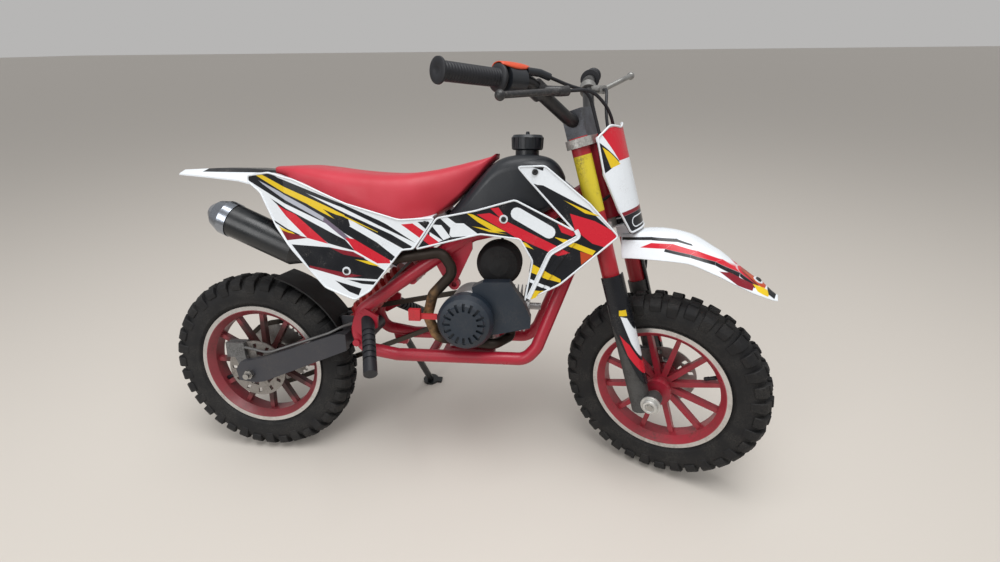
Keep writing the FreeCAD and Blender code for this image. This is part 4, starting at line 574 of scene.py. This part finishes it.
# %% Side panel stripes
# The red and black bar that crosses from the shroud to the panel.
CROSS_BAR = [("R", (350, 525.5), (370, 527.5), (416, 494.5), (400, 488)),
             ("K", (379, 530), (398, 531), (426, 496), (397, 514))]
SIDE_STRIPES = [
    # The tail: black, with yellow flashes and a pale edge.
    ("K", (66, 600), (74, 606), (122, 613), (143.7, 594), (201.2, 567.8), (257.5, 543.5), (262, 523), (246, 514),
     (108, 588)),
    ("Y", (86, 609), (104, 608.5), (143.4, 592.1), (206.8, 564.1), (216, 553), (211.4, 549.5), (171.8, 568.8),
     (112, 599)),
    ("Y", (204, 565.4), (229.5, 553.8), (253.5, 541.5), (254.2, 537.7), (238.3, 542.4), (211, 554)),
    ("Y", (203, 562), (214, 554), (235, 535), (211.4, 547), (190.6, 559)),
    ("G", (96, 598), (141.3, 580), (180.4, 559), (218, 537), (216, 530), (180.4, 551), (141.3, 573), (104, 592)),
    ("P", (217, 538), (243.7, 516), (261, 499), (257, 494), (243, 507), (215, 530.5)),
    # Black and yellow lines along the seat, down to the shroud.
    ("K", (126, 607.5), (149.7, 601.2), (202.4, 580.2), (251.2, 560.8), (250.7, 554.4), (148.8, 595.5), (126, 603)),
    ("K", (250, 561.3), (314, 531.5), (313, 522.5), (309.7, 524.2), (250, 554.8)),
    ("K", (312, 532.5), (325.2, 525.3), (373.4, 492.9), (351.3, 503.7), (309.7, 524.2)),
    ("K", (250, 546.5), (257.5, 543.5), (286.9, 527.3), (332, 507.8), (368, 486), (360, 477), (305.1, 510.4),
     (257, 536.7)),
    ("Y", (244, 543), (256, 538.8), (309, 512), (309, 511), (256, 535.8)),
    # The band over the plain black field, and its trims.
    ("K", (118, 568), (251, 498), (267, 478), (221, 491), (165, 542), (137, 559)),
    ("R", (132, 557), (166, 542), (221, 490), (184, 500)),
    ("K", (120, 530), (172, 505), (166, 504), (123, 525)),
    ("Y", (131, 519), (158, 510), (165, 504), (135, 513)),
    ("M", (135, 513), (168, 505), (185, 500), (146, 495)),
    # The plain black field, with red and yellow along its edges.
    ("K", (154, 488), (222, 484), (264, 476), (333, 432), (304, 425), (247, 429), (182, 446)),
    ("M", (222, 484), (264, 476), (285, 464), (247, 471)),
    ("M", (182, 446), (183, 450), (237, 436), (276, 432), (247, 428)),
    ("Y", (267, 462), (291, 459), (310, 449), (291, 453)),
    # Long stripes across the panel, and the low lines.
    ("R", (252, 502), (273, 498), (327, 464), (328, 455), (305, 455), (266, 479)),
    ("K", (226, 533), (248.8, 528.9), (274.5, 513.3), (306, 493.5), (336, 468), (345, 458), (329, 460), (273, 498),
     (250, 510)),
    *CROSS_BAR,
    ("K", (250, 425), (321, 420), (307, 414), (275, 417)),
    ("K", (228, 423), (274, 408), (268, 395), (252, 402)),
]
wrap(printed("side panel film", BIKE, "W", SIDE_STRIPES), "side_panel_left", "side_panel_right")

# %% [markdown]
# ## Tank shroud film
# Black with red, yellow and white flashes, and a raised white fin down its middle.
# Over the stripes lies a plain white strip with round ends and a black edge.

# %% A strip with round ends


def pill(one, other, radius):
    """Corners of a strip with round ends."""
    heading = math.atan2(other[1] - one[1], other[0] - one[0])
    turns = [math.radians(a) for a in range(-90, 91, 30)]
    return [(c[0] + radius * math.cos(heading + flip + a), c[1] + radius * math.sin(heading + flip + a))
            for c, flip in ((other, 0.0), (one, math.pi)) for a in turns]


# %% Shroud stripes
SHROUD_STRIPES = [
    # The horn, and the bright band along the top.
    ("W", (551, 626), (574, 627), (616, 614), (608, 596), (588, 597), (568, 603)),
    ("W", (598, 628), (676, 567), (676.6, 557.3), (642.6, 577.2), (617.2, 589.1), (591.9, 599)),
    ("W", (674, 569), (728, 516), (721, 517), (676.6, 557.3)),
    # The red cheek and its yellow lines.
    ("R", (643.9, 550.2), (685.9, 538.8), (729, 517), (724, 504), (705, 495), (684, 500.4), (653.5, 522.9)),
    ("Y", (634, 571.6), (662, 559), (697, 546), (669, 551.5)),
    ("Y", (618, 510), (641.7, 505.3), (690, 488), (685, 480), (646.3, 494)),
    ("R", (484, 545), (507, 548), (570, 515), (647, 483), (626, 477), (552, 507)),
    # The arm that meets the side panel.
    ("Y", (466, 547), (477, 545), (535, 516), (514, 516), (486, 532)),
    ("Y", (477, 524), (493, 522), (535, 512), (507, 515)),
    ("R", (508, 556), (522, 558), (536, 538), (524, 541)),
    ("W", (439, 529), (461, 529), (489, 509), (439, 504), (435, 508)),
    ("W", (418, 538), (431, 540), (454, 524), (439, 519)),
    ("W", (400, 526), (421, 525), (437, 504), (414, 494), (399, 488)),
    *CROSS_BAR,
    # The leg.
    ("Y", (560, 500), (570, 498), (584, 487), (567, 492)),
    ("Y", (566, 469), (599, 452), (633, 435), (633, 429), (611, 434), (568, 450)),
    ("W", (570, 437), (615, 420), (612, 415), (572, 430)),
    ("Y", (579, 414), (612, 412), (602, 401), (579, 396)),
    ("O", (664, 486), (687, 480), (667, 463)),
    ("R", (624, 532), (640, 527), (656, 517), (649, 512), (631, 518)),
    # The white strip with round ends, over its black edge.
    ("K", *pill((554, 548), (610, 517.5), 14)),
    ("W", *pill((554, 548), (610, 517.5), 10.8)),
]
wrap(printed("shroud film", BIKE, "K", SHROUD_STRIPES), "shroud_left", "shroud_right")

# %% [markdown]
# ## Tail film
# White, with a black flat top behind the seat and a black root where it meets the side panels.

# %% Tail stripes
TAIL_STRIPES = [
    ("K", (-66, 609), (-52, 622), (112, 622), (100, 609)),
    ("K", (40, 603), (66, 607), (120, 612), (120, 590), (60, 590)),
]
wrap(printed("tail film", BIKE, "W", TAIL_STRIPES), "rear_fender")

# %% [markdown]
# ## Number plate, front fender and fork guards
# These turn with the bars, so their patches are written in the steering ruler.
# The plate's corners are leftward and upward. Its middle is plain white.

# %% Front stripes
PLATE_STRIPES = [
    # Red top, black and yellow corners, and black with a white rim at the foot.
    ("R", (-56, 512), (56, 512), (30, 454), (-30, 454)),
    *(("K", (side * 64, 500), (side * 30, 453), (side * 62, 440)) for side in (-1, 1)),
    *(("Y", (side * 56, 484), (side * 45, 471), (side * 29, 448), (side * 50, 446)) for side in (-1, 1)),
    ("M", (-51, 366), (51, 366), (50, 359), (-50, 359)),
    ("K", (-50, 359), (50, 359), (40, 324), (-40, 324)),
    ("W", *pill((-22, 342), (22, 342), 10)),
    ("K", *pill((-22, 342), (22, 342), 8)),
]
FENDER_STRIPES = [
    # Thin black lines along each side.
    ("K", (22, 318), (22, 313.5), (76, 305), (76, 310)),
    ("K", (75, 310), (75, 305), (117, 294), (117, 299)),
    ("K", (116, 298.8), (116, 294.6), (140, 282.5), (138, 286)),
    # The red stripe, with a black line under it.
    ("R", (54.5, 297), (74.3, 301), (109.2, 293.1), (97.1, 288)),
    ("R", (109.2, 293.1), (97.1, 288), (135.9, 271.6), (146.7, 273.6)),
    ("R", (146.7, 273.6), (135.9, 271.6), (171, 250.7), (180.6, 249.5)),
    ("R", (180.6, 249.5), (171, 250.7), (203.6, 221.9), (196.9, 232)),
    ("R", (196.9, 233), (203.6, 221.9), (225, 196), (232, 197)),
    ("K", (97, 288), (136, 271.6), (136, 266.5), (95, 284)),
    ("K", (136, 271.6), (171, 250.7), (171, 245.5), (136, 266.5)),
    ("K", (171, 250.7), (203.6, 221.9), (202, 217), (171, 245.5)),
    ("K", (203.6, 221.9), (225, 197), (222, 195), (203, 218)),
    # The tip.
    ("M", (176, 236), (190, 229), (222, 199), (219, 193), (200, 208)),
    ("K", (204, 224), (222, 208), (238, 190), (226, 196)),
    ("O", (196, 234), (205, 229), (240, 190), (234, 188), (212, 216)),
    ("Y", (220, 201), (234, 190), (242, 180), (239, 176), (226, 189)),
    ("K", (238, 188), (250, 173), (247, 169), (240, 178)),
]
GUARD_STRIPES = [
    ("W", (8, 186), (17, 180), (40, 62), (31, 58), (15, 130)),
    ("Y", (8, 198), (18, 196), (18, 184), (6, 188)),
    ("R", (-1, 150), (12, 128), (28, 66), (23, 60), (5, 108)),
]
wrap(printed("plate film", STEER, "W", PLATE_STRIPES, (1, 2)), "number_plate")
wrap(printed("guard film", STEER, "K", GUARD_STRIPES), "fork_guards")

# %% [markdown]
# ## Turning round things
# Tyres, grips, bolt heads and valves are all turned: a half profile swept round an axis.
# A profile row is a distance along the axis and a radius, in millimetres.
# A bolt's profile is written for a height and a radius of 1, with a round socket in its head.

# %% Turned meshes
BOLT = [(0.62, 1), (0.94, 0.8), (1, 0.55), (1, 0)]
SOCKET = [(0.5, 1.0), (0.46, 0.96), (0.46, 0.4), (0, 0.4)]


def turned(profile, origin, axis, steps=48, closed=False):
    """Points and faces of a profile swept round an axis. A closed profile makes a ring."""
    axis = Vector(axis).normalized()
    side = axis.orthogonal().normalized()
    up = axis.cross(side)
    points = []
    for i in range(steps):
        angle = 2 * math.pi * i / steps
        out = side * math.cos(angle) + up * math.sin(angle)
        points += [Vector(origin) + axis * a + out * r for a, r in profile]
    faces = woven(steps + 1, len(profile), closed)
    return points, [tuple(k % len(points) for k in face) for face in faces]


def bolt(spot, normal, radius, height):
    """A pan head with a round socket, standing on a surface."""
    profile = [(height * h, radius * r) for r, h in reversed(BOLT)] + [(height * h, radius * r) for r, h in SOCKET]
    return turned(profile, spot, normal, 24)


def washer(spot, normal, radius, height):
    return turned([(0, radius), (height, radius * 0.97), (height, 0)], spot, normal, 32)


def gather(forms):
    """Joins several forms of points and faces into one."""
    points = []
    faces = []
    for some_points, some_faces in forms:
        start = len(points)
        points += some_points
        faces += [tuple(start + k for k in face) for face in some_faces]
    return points, faces


# %% [markdown]
# ## Knobbly tyres
# A motocross tyre is a smooth, round carcass with tall rubber knobs moulded on it.
# Each knob is a small profile across the tyre, pushed along the rolling direction and slimmer at its top.
# Big shoulder knobs reach down the sidewall, and smaller ones fill the crown in between.

# %% Tyre carcass and knobs
PITCHES, KNOB_STEP = 36, 2
SIDEWALL = [
    (0, 191.6), (8, 191.2), (16, 189), (23, 184.5), (28, 178), (31, 169), (31.8, 160), (31.2, 151), (29.6, 144.6),
    (29.8, 143), (29.4, 141.2), (27.4, 139.6), (25, 137.4), (22.8, 134.5), (22.7, 127.4),
]
# Each row: its name, its first pitch, and its profile: across, radius, half length along the roll.
KNOB_ROWS = [
    ("centre", 0, [(-9.5, 189, 9.5), (-8, 199.5, 8), (8, 199.5, 8), (9.5, 189, 9.5)]),
    ("middle", 1, [(3.5, 189, 9.5), (4.5, 199.2, 8), (16, 197.4, 8), (18, 187, 9.5)]),
    ("long shoulder", 0, [(13.5, 187.5, 12), (14.5, 197.2, 10.6), (28.8, 190, 10.6), (33.2, 183, 10.4),
                          (32.7, 164, 8.5), (30, 162, 8.5), (24, 176, 10)]),
    ("short shoulder", 1, [(20, 184, 12), (20.6, 195, 10.8), (29.4, 189.4, 10.8), (33.2, 182.5, 10.6),
                           (32.6, 172, 10), (29, 171, 10), (24, 178, 10)]),
]


def knob(across, pitch, side):
    """One knob: its profile across the tyre, pushed both ways along the roll."""
    angle = 2 * math.pi * pitch / PITCHES
    c, s = math.cos(angle), math.sin(angle)
    points = [Vector((radius * s + end * half * c, side * a, radius * c - end * half * s))
              for end in (-1, 1) for a, radius, half in across]
    return points, capped(2, len(across))


def tyre(name, wheel, body, replaced):
    profile = SIDEWALL + [(-a, r) for a, r in reversed(SIDEWALL[1:])]
    parts = [turned(profile, (0, 0, 0), LEFT, 120, closed=True)]
    for row, first, across in KNOB_ROWS:
        for pitch in range(first, PITCHES, KNOB_STEP):
            parts += [knob(across, pitch, side) for side in ((1,) if row == "centre" else (1, -1))]
    sharpen(piece_from(name, gather(parts), wheel, body, "tyre_rubber", crease=30, replaces=[replaced]), 0.0016, 30)


tyre("rear_knobbly_tyre", REAR_WHEEL, "rear_wheel", "rear_tyre")
tyre("front_knobbly_tyre", FRONT_WHEEL, "front_wheel", "front_tyre")

# %% [markdown]
# ## Valves and axle heads
# A rubber valve stands up from the well of each rim, and the axle ends in a broad, plated head.

# %% Valves and axle heads
VALVE = [(0, 0), (0, 4.2), (14, 3.6), (18, 3.2), (18.5, 3.9), (27, 3.6), (28, 2.6), (28, 0)]
VALVE_ROOT = 113
AXLE_HEAD = [(0, 0), (0, 19), (3, 19), (3.6, 18.4), (3.6, 14.6), (9, 14.4), (10.6, 12.6), (10.9, 9), (9.4, 7.2),
             (9.4, 0)]
FORK_FACE = 82.6
for end, wheel, angle in (("front", FRONT_WHEEL, 7), ("rear", REAR_WHEEL, 205)):
    out = Vector((math.cos(math.radians(angle)), 0, math.sin(math.radians(angle))))
    piece_from(end + "_valve", turned(VALVE, out * VALVE_ROOT, -out, 20), wheel, end + "_wheel", "rubber_black")
heads = gather([turned(AXLE_HEAD, (0, side * FORK_FACE, 0), (0, side, 0), 40) for side in (-1, 1)])
piece_from("front_axle_heads", heads, FRONT_WHEEL, "steering", "steel", LOOKS["bright_zinc"], 30)

# %% [markdown]
# ## Grips
# A grip is a soft rubber sleeve: a fat inner flange, fine ribs for the fingers, and a closed, rounded end.
# The ribs are part of the turned profile, so they show at the outline and not only in the shading.

# %% Ribbed grips
BAR_CORNER = (-33, 132, 614.6)
BAR_END = (-76, 300, 643.6)
GRIP_LENGTH = 116
RIB_PITCH, RIB_LOW, RIB_HIGH = 5.2, 12.9, 13.4


def bar_line(side):
    """The bar's end on one side, and the direction in which it runs there."""
    corner, end = (Vector((x, side * y, z)) for x, y, z in (BAR_CORNER, BAR_END))
    return end, (end - corner).normalized()


def grip_profile():
    profile = [(0, 11.5), (0, 19.5), (1, 20.3), (4, 20.3), (5, 19.5), (6.5, 13.8)]
    at = 9.0
    while at < GRIP_LENGTH - 10:
        profile += [(at, RIB_LOW), (at + 0.6, RIB_HIGH), (at + 3.6, RIB_HIGH), (at + 4.2, RIB_LOW)]
        at += RIB_PITCH
    return profile + [(GRIP_LENGTH - back, radius) for back, radius in (
        (6, RIB_HIGH), (5, 17.3), (3.8, 18), (1.2, 17.6), (0, 15.5), (0, 6), (1, 5), (1, 0))]


grips = []
for side in (-1, 1):
    end, line = bar_line(side)
    grips.append(turned(grip_profile(), end - line * (GRIP_LENGTH - 4), line))
piece_from("ribbed_grips", gather(grips), STEER, "steering", "rubber_black", crease=50, replaces=["grips"])

# %% [markdown]
# ## The orange throttle cover
# A thin moulded cap clips over the throttle housing. It is a shell that follows the round housing
# and fades to a point towards the cable, so its height is a sine along its length.

# %% Throttle cover
COVER_LENGTH = 62
COVER_RADIUS = 20.5
STATIONS, SLICES = 24, 16
end, line = bar_line(-1)
cover_end = end - line * (GRIP_LENGTH - 8)
cover_up = (Vector((0.15, 0, 1)) - line * line.z).normalized()
cover_side = line.cross(cover_up)
points = []
for share in spread(0, 1, STATIONS):
    swell = math.sin(math.pi * min(0.94 * share + 0.06, 1.0)) ** 0.5
    opening = math.radians(16 + 38 * swell)
    for across in spread(-1, 1, SLICES):
        angle = opening * across
        radius = COVER_RADIUS + (1.0 + 2.4 * swell) * (1 - across**4)
        points.append(cover_end - line * COVER_LENGTH * share + cover_up * radius * math.cos(angle)
                      + cover_side * radius * math.sin(angle))
cover = piece_from("throttle_cover", (points, woven(STATIONS + 1, SLICES + 1)), STEER, "steering", "handle_red",
                   LOOKS["cover_orange"])
thicken(cover, 0.0016)

# %% [markdown]
# ## A smooth front fender
# The fender is one bent sheet of white plastic with a crisp ridge along each side of its flat top.
# Its sections come from a short table: forward, half width, lower edge, half of the flat top, top height.
# A smooth curve through the table gives the sweep, and a solidify modifier gives the sheet its thickness.
# A small black bolt in a white washer stands on its tip, and a white mount holds it under the lower clamp.

# %% Front fender
BEAK = [(20, 48, 284, 22, 322), (85, 52, 272, 22, 314), (135, 50, 257, 20, 293), (176, 46, 229, 16, 256),
        (208, 38, 201, 12, 219), (233, 26, 179, 8, 193), (252, 12, 164, 4, 169)]
# Across the fender: share of the way from the middle of the top to the ridge, then from the ridge to the edge.
BEAK_ACROSS = [(0, 0), (0.5, 0), (0.9, 0), (1, 0.03), (1, 0.1), (1, 0.3), (1, 0.55), (1, 0.8), (1, 1)]
BEAK_STEPS = 60


def beak_row(u):
    half, edge, flat, top = smooth_row(BEAK, u)
    row = []
    for inward, down in BEAK_ACROSS:
        bulge = 2.2 * math.sin(math.pi * down)
        y = flat * inward + (half - flat) * down + bulge
        z = top + (edge - top) * down + 1.2 * (1 - inward) - (0.6 if inward == 1 and down < 0.05 else 0)
        row.append((y, z))
    return [(u, -y, z) for y, z in reversed(row)] + [(u, y, z) for y, z in row[1:]]


points = [point for u in spread(BEAK[0][0], BEAK[-1][0], BEAK_STEPS) for point in beak_row(u)]
fender_film = printed("smooth fender film", STEER, "W", FENDER_STRIPES)
beak = points, woven(BEAK_STEPS + 1, 2 * len(BEAK_ACROSS) - 1)
fender = piece_from("front_fender_sheet", beak, STEER, "steering", "plastic_white", fender_film, 28, ["front_fender"])
thicken(fender, 0.0026, -1)
sharpen(fender, 0.0006, 40)

# %% The fender's bolt and mount
TIP = Vector((226, 0, 200))
TIP_NORMAL = Vector((0.75, 0, 0.66))


def box(low, high):
    """Points and faces of a block between two corners."""
    (x0, y0, z0), (x1, y1, z1) = low, high
    return [(x, y, z) for z in (z0, z1) for x, y in ((x0, y0), (x1, y0), (x1, y1), (x0, y1))], capped(2, 4)


tip_bolt = bolt(TIP + Vector((0, 0, 0.5)) + TIP_NORMAL, TIP_NORMAL, 5, 3)
piece_from("fender_bolt", tip_bolt, STEER, "steering", "bar_black", crease=0)
piece_from("fender_washer", washer(TIP, TIP_NORMAL, 8.6, 1.4), STEER, "steering", "plastic_white", crease=0)
blocks = gather([box((10, -15, 317), (36, 15, 338)), box((-12, -18, 336.4), (28, 18, 340.4))])
sharpen(piece_from("front_fender_mount", blocks, STEER, "steering", "plastic_white", crease=0), 0.0015)

# %% [markdown]
# ## White edges of the plastics
# Each moulded panel has a thin, raised white bead round its edge. It is a round curve laid on the outline,
# and the outline's corners are cut by short arcs, because a mould never has a perfectly sharp corner.
# How far the bead stands from the centre plane comes from the panel's plan.

# %% Edge beads
SIDES = (("left", 1), ("right", -1))
PANEL = [(70, 596), (72, 606), (120, 612), (168, 601), (256, 561), (346, 533), (408, 537), (370, 482), (349, 480),
         (289, 404), (261, 387), (209, 410), (157, 475), (124, 520), (97, 577)]
PANEL_PLAN = [(60, 96), (150, 124), (240, 120), (330, 108), (420, 98)]
SHROUD = [(374, 481), (413, 537), (481, 551), (550, 571), (653, 521), (572, 606), (554, 626), (599, 628), (676, 567),
          (726, 514), (632, 426), (571, 392), (583, 466), (560, 504), (490, 511)]
SHROUD_PLAN = [(360, 101), (430, 100), (560, 102), (640, 106), (740, 112)]
BEAD, PLATE_BEAD = 1.7, 1.9


def line_at(table, x):
    """Reads a table with straight lines between its rows, such as a panel's half width along the bike."""
    x = min(max(x, table[0][0]), table[-1][0])
    for (x0, y0), (x1, y1) in zip(table, table[1:]):
        if x <= x1:
            return y0 + (y1 - y0) * (x - x0) / (x1 - x0)


def eased(corners, cut=5.0, closed=True):
    """Replaces each corner by a short curve."""
    out = []
    count = len(corners)
    for i, corner in enumerate(corners):
        here = Vector(corner)
        if not closed and i in (0, count - 1):
            out.append(here)
            continue
        back = Vector(corners[i - 1]) - here
        ahead = Vector(corners[(i + 1) % count]) - here
        reach = min(cut, back.length * 0.4, ahead.length * 0.4)
        start, stop = here + back.normalized() * reach, here + ahead.normalized() * reach
        out += [start * (1 - t) ** 2 + here * 2 * t * (1 - t) + stop * t**2 for t in spread(0, 1, 3)]
    return out


def fine(points, longest=12.0, closed=True):
    """Adds points on long runs, so that a bead can follow a bent panel."""
    out = []
    ends = points[1:] + points[:1] if closed else points[1:]
    for one, other in zip(points, ends):
        parts = max(1, math.ceil((other - one).length / longest))
        out += [one.lerp(other, k / parts) for k in range(parts)]
    return out if closed else out + [points[-1]]


def bead(name, path, radius, matrix, body):
    """A round white bead along a closed path of ruler points."""
    curve = bpy.data.curves.new(name, "CURVE")
    curve.dimensions = "3D"
    curve.bevel_depth = radius / 1000
    curve.bevel_resolution = 3
    spline = curve.splines.new("POLY")
    spline.points.add(len(path) - 1)
    for point, corner in zip(spline.points, path):
        point.co = (*(matrix @ Vector(corner)), 1)
    spline.use_cyclic_u = True
    curve.materials.append(LOOKS["plastic_white"])
    place(name, curve, body)


for name, side in SIDES:
    for panel, outline, plan in (("side_panel", PANEL, PANEL_PLAN), ("shroud", SHROUD, SHROUD_PLAN)):
        path = [(x, side * line_at(plan, x), z) for x, z in fine(eased(outline))]
        bead(panel + "_edge_" + name, path, BEAD, BIKE, "chassis")

# %% [markdown]
# ## The flange under the seat
# The panel's upper edge folds inward and runs under the seat, so no gap shows between the two.
# It is a strip between two lines: the panel's upper outline, and the seat's lower edge.

# %% Seat flange
UPPER_EDGE = [(72, 606), (120, 611), (168, 600), (256, 560), (346, 532), (404, 536)]
FLANGE_REAR, FLANGE_FRONT = 74, 404
FLANGE_STEPS, FLANGE_ROWS = 56, 6
FLANGE_BULGE = 2.5


def flange(side):
    points = []
    for x in spread(FLANGE_REAR, FLANGE_FRONT, FLANGE_STEPS):
        half, low, top = smooth_row(SEAT, x)
        outer = Vector((x, line_at(PANEL_PLAN, x) - 1.5, line_at(UPPER_EDGE, x)))
        inner = Vector((x, half - 8, low + 3))
        for share in spread(0, 1, FLANGE_ROWS):
            p = outer.lerp(inner, share)
            points.append((p.x, side * p.y, p.z + FLANGE_BULGE * math.sin(math.pi * share)))
    return points, woven(FLANGE_STEPS + 1, FLANGE_ROWS + 1)


FLANGE_BLACK = [("K", *((x, side * y) for x, y in ((70, 30), (70, 91), (112, 104), (124, 60), (112, 30))))
                for side in (1, -1)]
flange_film = printed("flange film", BIKE, "W", FLANGE_BLACK, (0, 1))
for name, side in SIDES:
    thicken(piece_from("panel_flange_" + name, flange(side), BIKE, "chassis", "plastic_white", flange_film), 0.0022)

# %% [markdown]
# ## The fin on the shroud
# A white rib runs from the horn's notch down the leg of the shroud. It has two ridges with a valley between them,
# so its section is a small outline pushed along the rib's path.

# %% Shroud fin
FIN_PATH = [(655, 523), (661, 512), (612, 481), (577, 397)]
FIN_SECTION = [(-4.2, 0), (-4.0, 3.6), (-2.9, 4.6), (-1.6, 3.4), (1.6, 3.4), (2.9, 4.6), (4.0, 3.6), (4.2, 0)]


def rib(side):
    """The rib on one shroud: its section follows the path across the panel's face."""
    line = fine(eased(FIN_PATH, 7, closed=False), 10, closed=False)
    points = []
    for i, here in enumerate(line):
        ahead = (line[min(i + 1, len(line) - 1)] - line[max(i - 1, 0)]).normalized()
        across = Vector((-ahead[1], ahead[0]))
        for offset, height in FIN_SECTION:
            p = here + across * offset
            points.append((p[0], side * (line_at(SHROUD_PLAN, p[0]) + height), p[1]))
    return points, capped(len(line), len(FIN_SECTION))


for name, side in SIDES:
    piece_from("shroud_fin_" + name, rib(side), BIKE, "chassis", "plastic_white", crease=40)

# %% [markdown]
# ## Plate edge and panel bolts
# The number plate is bowed, so its bead follows an arc: a point is further back the further it is from the middle.
# Panels are held by dark pan head bolts with a round socket, some of them in a pale washer.

# %% Plate edge
PLATE = [(-34, 516), (-60, 502), (-62, 440), (-52, 370), (-40, 326),
         (40, 326), (52, 370), (62, 440), (60, 502), (34, 516), (0, 508)]
BOW_CENTRE, BOW_RADIUS = -33.6, 87.6
plate_path = [(BOW_CENTRE + math.sqrt(BOW_RADIUS**2 - v**2), v, w) for v, w in fine(eased(PLATE, 6), 8)]
bead("number_plate_edge", plate_path, PLATE_BEAD, STEER, "steering")

# %% Bolts
# Each row: forward, up, the panel's plan, the bolt's radius, and the washer's radius if it has one.
PANEL_BOLTS = [
    (583, 618, SHROUD_PLAN, 5.2, 0), (531, 538, SHROUD_PLAN, 4.6, 7.6),
    (250, 441, PANEL_PLAN, 4.6, 7.8), (392, 528, PANEL_PLAN, 4, 0),
]
bolts = []
rings = []
for side in (-1, 1):
    for x, z, plan, radius, ring in PANEL_BOLTS:
        y = line_at(plan, x)
        bolts.append(bolt((x, side * (y + 0.8), z), (0, side, 0), radius, 3.2))
        if ring:
            rings.append(washer((x, side * y, z), (0, side, 0), ring, 1.2))
piece_from("panel_bolts", gather(bolts), BIKE, "chassis", "bar_black", crease=35)
piece_from("panel_washers", gather(rings), BIKE, "chassis", "plastic_white", crease=0)

# %% [markdown]
# ## Floor, light and camera
# The floor is plain and pale. One broad lamp from above and one from the front keep the shadows soft,
# and a pale world fills the rest, so that a colour renders about as it is written.

# %% Stage
FLOOR_REACH = 60
WORLD_STRENGTH = 0.55
floor_look = Recipe("pale floor")
floor_look.set(Base_Color=(0.62, 0.58, 0.53), Roughness=0.5)
floor_mesh = bpy.data.meshes.new("floor")
floor_corners = [(x * FLOOR_REACH, y * FLOOR_REACH, 0) for x, y in ((-1, -1), (1, -1), (1, 1), (-1, 1))]
floor_mesh.from_pydata(floor_corners, [], [(0, 1, 2, 3)])
floor = bpy.data.objects.new("floor", floor_mesh)
floor.data.materials.append(floor_look.material)
link(floor)


def lamp(name, spot, target, size, power):
    light = bpy.data.lights.new(name, "AREA")
    light.size = size
    light.energy = power
    lamp_object = bpy.data.objects.new(name, light)
    lamp_object.location = spot
    lamp_object.rotation_euler = (Vector(target) - Vector(spot)).to_track_quat("-Z", "Y").to_euler()
    link(lamp_object)


lamp("ceiling", (0.3, -0.6, 3.0), (0, 0, 0.3), 2.0, 70)
lamp("front", (-1.6, -2.6, 1.8), (0, 0, 0.4), 1.6, 30)
world = bpy.data.worlds.new("room")
bpy.context.scene.world = world
world.use_nodes = True
sky = world.node_tree.nodes["Background"]
sky.inputs[0].default_value = (0.86, 0.85, 0.84, 1)
sky.inputs[1].default_value = WORLD_STRENGTH

# %% [markdown]
# ## The camera
# It stands where the photographer stood: level with the tank cap, to the right of the bike,
# looking down by 27 degrees through a wide lens. Its place is measured from the rear tyre's foot, in metres.

# %% Camera
TILT = math.radians(26.9)
HEADING = math.radians(6.0)
ROLL = math.radians(-0.68)
CAMERA_AHEAD, CAMERA_BESIDE, CAMERA_HEIGHT = 0.603, -0.753, 0.820
look = Vector((-math.sin(HEADING) * math.cos(TILT), math.cos(HEADING) * math.cos(TILT), -math.sin(TILT)))
right = Vector((math.cos(HEADING), math.sin(HEADING), 0))
above = right.cross(look)
right_rolled = right * math.cos(ROLL) + above * math.sin(ROLL)
above_rolled = above * math.cos(ROLL) - right * math.sin(ROLL)
camera = bpy.data.objects.new("camera", bpy.data.cameras.new("camera"))
camera.data.sensor_width = 36
camera.data.lens = 16.86
foot = BIKE.translation
camera_place = Matrix.Translation((foot.x + CAMERA_AHEAD, foot.y + CAMERA_BESIDE, CAMERA_HEIGHT))
camera.matrix_world = camera_place @ Matrix((right_rolled, above_rolled, -look)).transposed().to_4x4()
link(camera)
bpy.context.scene.camera = camera
bpy.context.scene.view_settings.view_transform = "Standard"
print("camera", [round(v, 3) for v in camera.location])

# %% Update the scene
bpy.context.view_layer.update()
